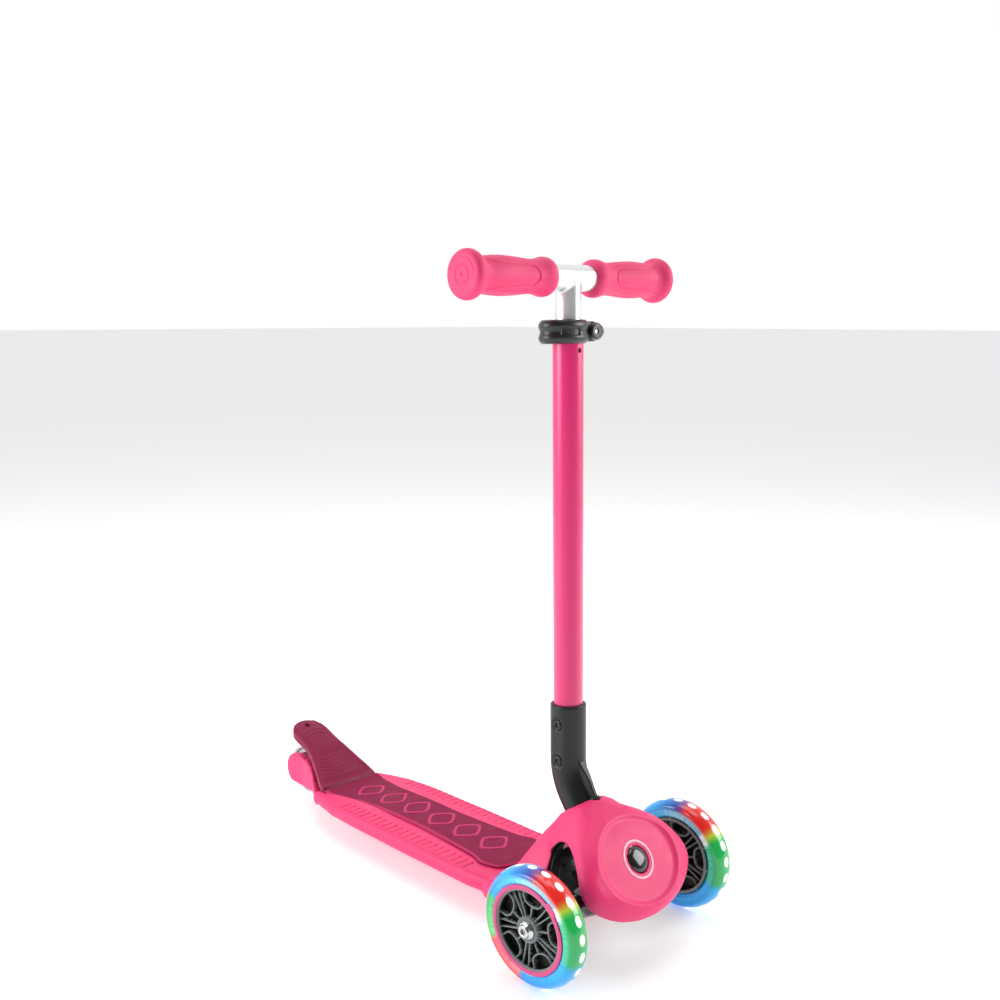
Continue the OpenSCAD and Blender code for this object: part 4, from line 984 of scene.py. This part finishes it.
def lining(x, y, z):
    """Signed distance in mm: the inner skin of the arch on both sides of the fold channel."""
    ax = np.abs(x)
    m, s = steer_frame(y, z)
    arch = arch_form(y, m, s)
    sheet = round_cut(arch + lining_gap, -arch - lining_gap - lining_thick, 0.5)
    inboard, outboard = channel_half + 1.0 - ax, ax - lining_half + 0.35*np.maximum(m - 20, 0)
    return greatest(sheet, inboard, outboard, lining_foot - z, -14 - m)


fine = 1.0
points, faces = skin(lining, np.arange(-48, 48.1, 2*fine), np.arange(-56, 56, fine), np.arange(28, 132, fine))
arch_lining = from_axle("arch_lining", points, faces)
black_paint = paint("black_plastic", (0.018, 0.02, 0.021), 0.5)
grain(black_paint, 0.4, 0.05, (0.45, 0.6))
arch_lining.data.materials.append(black_paint)
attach(arch_lining, "deck_frame")

# ---------------------------------------------------------------- truck
# A black cast block turns on the kingpin under the neck and carries both front axles on its round
# arms. Pockets are cast into its faces and fillets run out into the arms.

truck_hub_r, truck_hub_half, arm_r, arm_end = 21, 20, 11, 101.35
block_half_height, block_half_depth, block_half_width = 19.8, 15.8, 49.5
pocket_x, pocket_half = 32, 10.5
kingpin_bore_r, axle_bore_r, axle_bore_depth = 5.15, 4.15, 50


def truck_casting(x, m, s):
    """Signed distance in mm in the steer frame: a hub about the kingpin, a waisted block with pockets, and
    arms of round bar joined to it by fillets, less the bores of the kingpin and of both axle bolts."""
    ax, am, depth = np.abs(x), np.abs(m), np.abs(s)
    about_arm = np.hypot(m, s)
    hub = round_cut(np.hypot(x, m) - truck_hub_r, depth - truck_hub_half, 1.5)
    waist = 0.16*np.maximum(ax - 18, 0)
    block = round_cut(am - block_half_height + waist, depth - block_half_depth + 0.6*waist, 4)
    block = round_cut(block, ax - block_half_width, 5)
    beside = np.abs(ax - pocket_x) - pocket_half
    face_pocket = round_cut(round_cut(beside, am - 10 + waist, 3), 12.4 - depth, 0.8)
    top_pocket = round_cut(round_cut(beside, depth - 8, 3), 15.6 - waist - am, 0.8)
    block = round_cut(round_cut(block, -face_pocket, 1.2), -top_pocket, 1.2)
    arm = round_cut(about_arm - arm_r + 0.012*np.maximum(arm_end - 8 - ax, 0), ax - arm_end, 0.8)
    flange = round_cut(about_arm - arm_r, np.abs(ax - arm_end + 4) - 4, 0.8)
    body = round_join(round_join(block, np.minimum(arm, flange), 7), hub, 3)
    axle_bore = np.maximum(about_arm - axle_bore_r, arm_end - axle_bore_depth - ax)
    return greatest(body, kingpin_bore_r - np.hypot(x, m), -axle_bore)


fine = 0.8
points, faces = skin(truck_casting, centred(-arm_end - 2, arm_end + 2.1, 1.5*fine),
                     np.arange(-24, 24.1, fine), np.arange(-22, 22.1, fine))
truck = placed("truck_casting", points, faces, steer_matrix(0, 0, 0))
truck_paint = paint("truck_black", (0.010, 0.011, 0.012), 0.2, Coat_Weight=0.5, Coat_Roughness=0.1)
grain(truck_paint, 0.5, 0.02, (0.16, 0.3), (0.02, 0.02, 0.022))
truck.data.materials.append(truck_paint)
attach(truck, "truck")
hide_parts("truck")

# ---------------------------------------------------------------- elbow
# A satin black casting joins the column to the fold pivot. Its bend is round outside, a thin fin
# fills the inside of the bend, and a flat panel on its side carries two countersunk socket screws.


def joint(name):
    """A joint of the frame record."""
    return next(entry for entry in frame["joints"] if entry["name"] == name)


slide = joint("bar_height")
column_up = Vector(slide["axis"]).normalized()
lean = math.atan2(column_up.y, column_up.z)
fold_pivot = Vector(joint("column_fold")["pos_m"])
leg_up = Vector((0, math.sin(rake), math.cos(rake)))
slide_foot = Vector(slide["pos_m"])
# The bend is where the column's axis meets the leg's
meet = (slide_foot - fold_pivot).cross(column_up).x/leg_up.cross(column_up).x
bend_point = fold_pivot + meet*leg_up
leg_length = meet/mm


def column_matrix(x, y, h):
    """Frame in metres on the column: Z up along it, from a point x to the left, y back and h above the bend,
    in mm."""
    back = Vector((0, math.cos(lean), -math.sin(lean)))
    turn = Matrix((Vector((1, 0, 0)), back, column_up)).transposed().to_4x4()
    return Matrix.Translation(bend_point + (Vector((x, 0, 0)) + y*back + h*column_up)*mm) @ turn


elbow_r, elbow_foot_r, tube_r = 18.5, 17, 15.1
socket_low, socket_high = 3, 79
screw_rows = (57.9, 19.5)
screw_seat_r, screw_hole_r = 6.6, 2.6
panel_middle, panel_reach, panel_half = 38.7, 19.2, 8.4
fold_pin_bore_r, latch_notch_r = 5.05, 2.5
bend_turn = rake - lean
bend_r = 70.0
bend_reach = bend_r*math.tan(bend_turn/2)


def elbow_casting(x, y, z):
    """Signed distance in mm in the column's frame: a round bar along an arc between leg and column, with a
    fin, a flat panel, screw seats and the socket for the tube."""
    # Leg coordinates: along runs up to the bend, away is in front of the leg's axis
    along = y*math.sin(bend_turn) + z*math.cos(bend_turn)
    away = y*math.cos(bend_turn) - z*math.sin(bend_turn)
    from_centre = np.hypot(y + bend_r, z - bend_reach) - bend_r
    bent = (along > -bend_reach) & (z < bend_reach)
    off = np.where(bent, from_centre, np.where(z >= bend_reach, y, away))
    body = np.hypot(x, off) - elbow_r
    # Below the fold pin the leg ends in a round foot
    from_pin = np.hypot(away, along + leg_length)
    body = np.where(along < -leg_length, np.maximum(from_pin - elbow_foot_r, body), body)
    body = round_cut(body, z - socket_high, 2.6)
    # Fin in the inside of the bend: straight down its front from the column, then curving into the leg
    edge = eased(z, [(-60, -56.5), (-40, -48.5), (-26, -43.0), (-10, -36.5), (4, -29.5), (16, -21),
                     (24, -14)], 4)
    fin = round_cut(np.abs(x) - 2.6 - 1.6*step(-34, -18, y), edge - y, 1.2)
    fin = greatest(fin, y, elbow_foot_r - along - leg_length)
    body = round_join(body, fin, 2.2)
    # Flat panel on the right, with rounded ends
    panel = np.hypot(y, np.maximum(np.abs(z - panel_middle) - panel_reach, 0)) - panel_half
    body = round_cut(body, -np.maximum(panel, x + 17.2), 0.7)
    for row in screw_rows:
        seat = np.hypot(y, z - row)
        body = round_cut(body, -np.maximum(seat - screw_seat_r, x + 16.3), 0.4)
        body = np.maximum(body, -np.maximum(seat - screw_hole_r, x))
    body = np.maximum(body, -np.maximum(np.hypot(x, y) - tube_r - 0.05, socket_low - z))
    notch = np.hypot(away + 6, along + leg_length + elbow_foot_r)
    return greatest(body, fold_pin_bore_r - from_pin, latch_notch_r - notch)


fine = 1.0
points, faces = skin(elbow_casting, centred(-20, 20.1, fine), np.arange(-70, 24, fine),
                     np.arange(-66, 82, fine))
elbow = placed("elbow_casting", points, faces, column_matrix(0, 0, 0))
satin_paint = paint("satin_black", (0.009, 0.011, 0.012), 0.33, Specular_IOR_Level=0.36)
grain(satin_paint, 0.35, 0.03, (0.28, 0.38), (0.018, 0.02, 0.021))
elbow.data.materials.append(satin_paint)
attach(elbow, "column")
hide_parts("elbow")

black_steel = paint("black_steel", (0.03, 0.031, 0.033), 0.3, Metallic=0.6)
grain(black_steel, 0.3, 0.02, (0.25, 0.4))
for number, row in enumerate(screw_rows):
    out = column_matrix(0, 0, row) @ Matrix.Rotation(-math.pi/2, 4, "Y")
    screw = socket_head("elbow_screw_%d" % (number + 1), out, 2.7, 1.6,
                        [(3.4, 17.5), (4.2, 17.4), (5.3, 16.9), (5.6, 16.35), (2.4, 16.3), (2.4, 13.0)])
    screw.data.materials.append(black_steel)
    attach(screw, "column")
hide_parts("elbow_screws")

# Dark rubber tab that fills the notch in the front of the collar
tab = [(0.02, 2.0)] + half_dome(5.6, 2.0, 0, np.linspace(0.2, 1.45, 8))
tab += [(5.7, 0.0), (5.6, -2.0), (0.02, -2.0)]
tab_place = steer_matrix(0, collar_m - 0.4, 29.2) @ Matrix.Rotation(-math.pi/2, 4, "X")
collar_tab = lathe("collar_tab", tab, tab_place, 64)
collar_tab.data.materials.append(black_paint)
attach(collar_tab, "deck_frame")

# ---------------------------------------------------------------- clamp
# A black plastic collar with two soft ridges closes the slit top of the lower tube. Its lever ends in
# a bullet-shaped knob with two grey bands, beside a round boss.

tube_top = (slide_foot - bend_point).length/mm
clamp_height, clamp_lip = 25, 3
clamp_mid = tube_top + clamp_lip - clamp_height/2
band_x, band_half_width, band_half_depth = -6.2, 26.6, 20.6
ridge_half, bar_clear_r = 5.6, 13.1
lever_x, lever_y = 24.0, 18.0
clamp_bolt_r, cam_pin_r = 2.55, 2.1
knob_start, knob_end = 30.4, 51.0
knob_bands = (36.5, 44)


def collar(x, y, z):
    """Signed distance in mm from the collar's middle: an oval band swollen into an upper and a lower ridge,
    with the ears of the clamp on the left, a window in the front and the bore of the tube."""
    ridge = 0.7*np.cos(np.clip(np.abs(z) - ridge_half, -ridge_half, ridge_half)*math.pi/ridge_half)
    outline = oval(x - band_x, y, band_half_width, band_half_depth)
    band = round_cut(outline - ridge, np.abs(z) - 2*ridge_half, 3.2)
    ears = round_cut(round_cut(x - 29.0, np.abs(y) - 10.6, 3.0), np.abs(z) - 9.6, 2.0)
    ears = np.maximum(ears, -x)
    boss = round_cut(np.hypot(x - 24.5, z) - 7.6, np.abs(y + 8) - 8.0, 1.5)
    body = round_join(round_join(band, ears, 1.5), boss, 1.0)
    turn = np.arctan2(-y, -x)
    window = round_cut(np.abs(turn - math.radians(52))*21 - 8.5, np.abs(z) - 3.4, 0.8)
    body = round_cut(body, -greatest(window, -outline - 1.8, y + 2), 0.4)
    # Bore for the lower tube, and a narrower one through the lip for the sliding tube
    from_tube = np.hypot(x, y)
    body = greatest(body, -np.maximum(from_tube - tube_r - 0.05, z - 9.6), bar_clear_r - from_tube)
    gap = np.maximum(np.abs(y) - 0.9, 6 - x)
    return np.maximum(round_cut(body, -gap, 0.4), clamp_bolt_r - np.hypot(x - lever_x, z))


fine = 0.8
points, faces = skin(collar, np.arange(-35.2, 34, fine), np.arange(-24, 24, fine),
                     np.arange(-13.2, 13.4, fine))
clamp_band = placed("clamp_band", points, faces, column_matrix(0, 0, clamp_mid))
clamp_paint = paint("clamp_plastic", (0.012, 0.014, 0.016), 0.3, Specular_IOR_Level=0.4, Coat_Weight=0.15,
                    Coat_Roughness=0.2)
grain(clamp_paint, 0.4, 0.02, (0.24, 0.38), (0.022, 0.025, 0.028))
clamp_band.data.materials.append(clamp_paint)
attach(clamp_band, "column")
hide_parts("clamp_collar")


def lever(x, y, z):
    """Signed distance in mm: a barrel behind the ears, an arm that sweeps from it, and a bullet-shaped knob
    with two sunk bands."""
    from_cam = np.hypot(x - lever_x, y - lever_y)
    barrel = round_cut(from_cam - 6.5, np.abs(z) - 8.3, 1.2)
    t = np.clip((x - 27)/14, 0, 1)
    path_y = 17 - 15*t*t*(3 - 2*t)
    arm = round_cut(np.hypot((x - 27 - 14*t), np.abs(y - path_y)*0.8) - 5.0, np.abs(z) - 7.2, 2.4)
    arm = np.maximum(arm, np.minimum(knob_start - x, 11.0 - y))
    tip = np.interp(x, [30, 33, 38, 42, 46, 49, 50.6, knob_end], [8.7, 9.3, 9.3, 8.4, 6.4, 4.0, 2.0, 0.4])
    bands = 0.35*sum(step(0.9, 0.5, np.abs(x - place)) for place in knob_bands)
    knob = round_cut((np.hypot(y, z) - tip)*0.9 + bands, np.maximum(knob_start - x, x - knob_end), 0.8)
    body = round_join(round_join(barrel, arm, 2.0), knob, 2.0)
    # Slot that clears the clamp's bolt
    slot = greatest(np.abs(z) - 3.1, x - 27.0, 11 - x, 9 - y)
    return np.maximum(round_cut(body, -slot, 0.4), cam_pin_r - from_cam)


points, faces = skin(lever, np.arange(15.5, 53.5, fine), np.arange(-11.5, 27.4, fine),
                     np.arange(-11.2, 11.3, fine))
cam_lever = placed("clamp_lever", points, faces, column_matrix(0, 0, clamp_mid))
x, y, z = points.T
banded = step(1.6, 1.2, np.abs(x - knob_bands[0])) + step(1.4, 1.0, np.abs(x - knob_bands[1]))
banded = (np.clip(banded, 0, 1)*(np.hypot(y, z) < 10.5))[:, None]
colour_points(cam_lever, "band_colour", between(banded, (30, 33, 36), (112, 128, 138)))
lever_paint = paint("lever_plastic", (0.014, 0.016, 0.018), 0.28, Coat_Weight=0.3, Coat_Roughness=0.2)
grain(lever_paint, 0.4, 0.02, (0.24, 0.36))
attribute_colour(lever_paint, "band_colour", "Base Color")
cam_lever.data.materials.append(lever_paint)
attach(cam_lever, "cam_lever")
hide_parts("cam_lever")

# ---------------------------------------------------------------- handlebar tube
# A polished alloy crossbar is welded across the top of the sliding tube. A small weld bead runs
# round the joint.

bar_clear = 40.6
bar_axis = tube_top + bar_clear
bar_r, bar_reach, weld_r = 12.5, 130, 2.2
bar_raise, sleeve_h, foot_h = 172, 65, 16
stem_foot = tube_top - sleeve_h - bar_raise - foot_h


def bar_weldment(x, y, z):
    """Signed distance in mm from the bar's axis: a stem and a crossbar joined with a bead."""
    stem = np.maximum(np.hypot(x, y) - bar_r, np.maximum(stem_foot - bar_axis - z, z))
    cross = np.maximum(np.hypot(y, z) - bar_r, np.abs(x) - bar_reach)
    return round_join(stem, cross, weld_r)


fine = 0.9
# Fine cells round the joint, and long ones down the stem and out along the bar
span = centred(-16, 16.1, fine)
far_x = np.linspace(span[-1] + 4, bar_reach + 3, 20)
down = np.linspace(stem_foot - bar_axis - 4, -16 - 4, 44)
points, faces = skin(bar_weldment, np.concatenate([-far_x[::-1], span, far_x]), span,
                     np.concatenate([down, np.arange(-16, 14.6, fine)]))
bar_tube = placed("bar_weldment", points, faces, column_matrix(0, 0, bar_axis))
alloy_paint = paint("polished_alloy", (0.83, 0.84, 0.85), 0.3, Metallic=0.8)
grain(alloy_paint, 0.5, 0.006, (0.24, 0.36), (0.78, 0.79, 0.81), (1, 1, 0.08))
bar_tube.data.materials.append(alloy_paint)
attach(bar_tube, "handlebar")
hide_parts("handlebar_tube")

# ---------------------------------------------------------------- grips
# Two moulded rubber grips with a broad end disc, a palm swell and a flange. The front of each has a
# sunk panel with an outline groove and shallow flutes above and below it.

bar_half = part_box("left_grip")[1].x/mm
flute_half_turn, end_ring_radii = 19, (8.5, 15.6)
grip_bore_r, grip_bore_ends = 12.6, (12.0, 108.0)
grip_knots = [(110, grip_bore_r), (110, 14.2), (109.2, 15.8), (107.4, 17.2), (104.5, 18.1), (101, 18.3),
              (97.5, 17.7), (94, 16.7), (90, 15.9), (84, 15.6), (78, 15.9), (70, 16.6), (58, 17.6),
              (46, 18.0), (36, 17.6), (26, 16.8), (19, 16.6), (15.5, 17.6), (13.2, 19.4), (11.2, 21.0),
              (8.6, 22.1), (6.4, 22.3), (4.2, 22.1), (2.2, 21.2), (0.9, 19.7), (0.25, 17.6), (0.0, 15.0),
              (0.0, 0.05)]


def grip_path(n):
    """The grip's outline from its inner end to the middle of its end face, as depth from the end and radius,
    with its corners eased."""
    knots = np.array(grip_knots, float)
    far = chain_length(knots)
    at = np.linspace(0, far[-1], n)
    shifts = np.linspace(-1.2, 1.2, 7)[:, None]
    at = np.clip(at + shifts*np.minimum(1, np.minimum(at, far[-1] - at)/1.5), 0, far[-1])
    return np.interp(at, far, knots[:, 0]).mean(0), np.interp(at, far, knots[:, 1]).mean(0)


def make_grip(name, side, node_name):
    """A grip: its outline turned about the bar, pressed in by the panel, its groove, the flutes and the
    rings of the end face."""
    turns, rows = ((300, 300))
    angle = ring_angle(turns)[:, None]
    depth, radius = grip_path(rows)
    depth, radius = depth[None, :], radius[None, :]
    # Angle from straight ahead, as a distance round the palm
    round_front = ((angle + math.pi) % (2*math.pi) - math.pi)*17
    wide = 10.6 + 4.5*step(40, 16, depth)
    panel = np.hypot(np.maximum(depth - 73, 0), round_front*11/wide) - 11
    panel = np.where(depth < 16, 9, panel)
    on_palm = step(16, 22, depth)*step(92, 89, depth)
    cut = (step(1.4, 0.5, np.abs(panel)) + 0.5*step(0, -1.5, panel))*on_palm
    from_flute = np.abs(np.abs(round_front) - flute_half_turn - 4*np.cos((depth - 50)*math.pi/70))
    cut = cut + 0.8*step(3.4, 0.6, from_flute)*step(24, 34, depth)*step(88, 76, depth)
    # Rings and a dimple sunk in the end face, the outer ring only half way round
    far_side = step(-0.2, 0.3, np.cos(angle - math.pi/2))
    small, large = end_ring_radii
    dip = 0.6*step(1.1, 0.5, np.abs(radius - small)) + 0.5*step(1.0, 0.5, np.abs(radius - large))*far_side
    dip = (dip + step(2.2, 1.0, radius))*(depth < 1.2)
    # Each row starts inside the grip, at the blind end of its bore and at the bore's mouth
    inner = np.array(grip_bore_ends)[None, :] + 0*angle
    r = np.concatenate([grip_bore_r + 0*inner, radius - cut], 1)
    x = side*(bar_half - np.concatenate([inner, depth + dip], 1))
    points = np.stack([x, -r*np.cos(angle), r*np.sin(angle)], -1)
    faces = capped_faces(turns, rows + 2, flip=side < 0)
    grip = placed(name, points, faces, column_matrix(0, 0, bar_axis))
    grip.data.materials.append(grip_paint)
    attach(grip, "handlebar")
    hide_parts(node_name)


grip_paint = paint("grip_rubber", (0.87, 0.06, 0.20), 0.55, Specular_IOR_Level=0.35)
grain(grip_paint, 0.5, 0.06, (0.48, 0.62), (0.80, 0.045, 0.165))
make_grip("left_grip_rubber", 1, "left_grip")
make_grip("right_grip_rubber", -1, "right_grip")

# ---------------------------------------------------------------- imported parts' finishes
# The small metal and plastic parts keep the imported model's shapes. Each gets a worn, grained finish.


def finish_nodes(material, *names):
    """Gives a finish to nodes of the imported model."""
    for name in names:
        mesh = node[name].data
        mesh.materials.clear()
        mesh.materials.append(material)


steel_paint = paint("plain_steel", (0.50, 0.50, 0.52), 0.34, Metallic=1.0)
grain(steel_paint, 0.3, 0.02, (0.26, 0.44), (0.40, 0.40, 0.42), (1, 1, 0.2))
finish_nodes(steel_paint, "kingpin", "kingpin_nut", "bracket_screws", "hood_screws", "pivot_pin",
             "brake_pin", "brake_spring", "rear_axle_bolt", "rear_axle_nut", "axle_spacers", "left_bearings",
             "right_bearings", "rear_bearings", "left_sleeve", "right_sleeve", "rear_sleeve", "latch_plate",
             "latch_pin", "clamp_bolt", "clamp_nut", "cam_pin", "detent_button", "detent_spring")

finish_nodes(truck_paint, "steering_bracket")

bush_paint = paint("bush_rubber", (0.02, 0.02, 0.02), 0.7, Specular_IOR_Level=0.3)
grain(bush_paint, 0.5, 0.1, (0.6, 0.8))
finish_nodes(bush_paint, "steering_bushes")

sleeve_paint = paint("sleeve_plastic", (0.016, 0.017, 0.018), 0.45)
grain(sleeve_paint, 0.4, 0.04, (0.4, 0.55))
finish_nodes(sleeve_paint, "tube_sleeve")

white_paint = paint("white_plastic", (0.72, 0.72, 0.73), 0.45)
grain(white_paint, 0.4, 0.04, (0.4, 0.55), (0.66, 0.66, 0.68))
finish_nodes(white_paint, "tube_foot", "bar_plugs", "rear_hub")

tube_paint = paint("pink_tube_paint", (0.78, 0.0025, 0.16), 0.32, Coat_Weight=0.7, Coat_Roughness=0.24)
grain(tube_paint, 0.8, 0.012, (0.28, 0.36), (0.76, 0.002, 0.15), (1, 1, 0.15))
finish_nodes(tube_paint, "lower_tube")
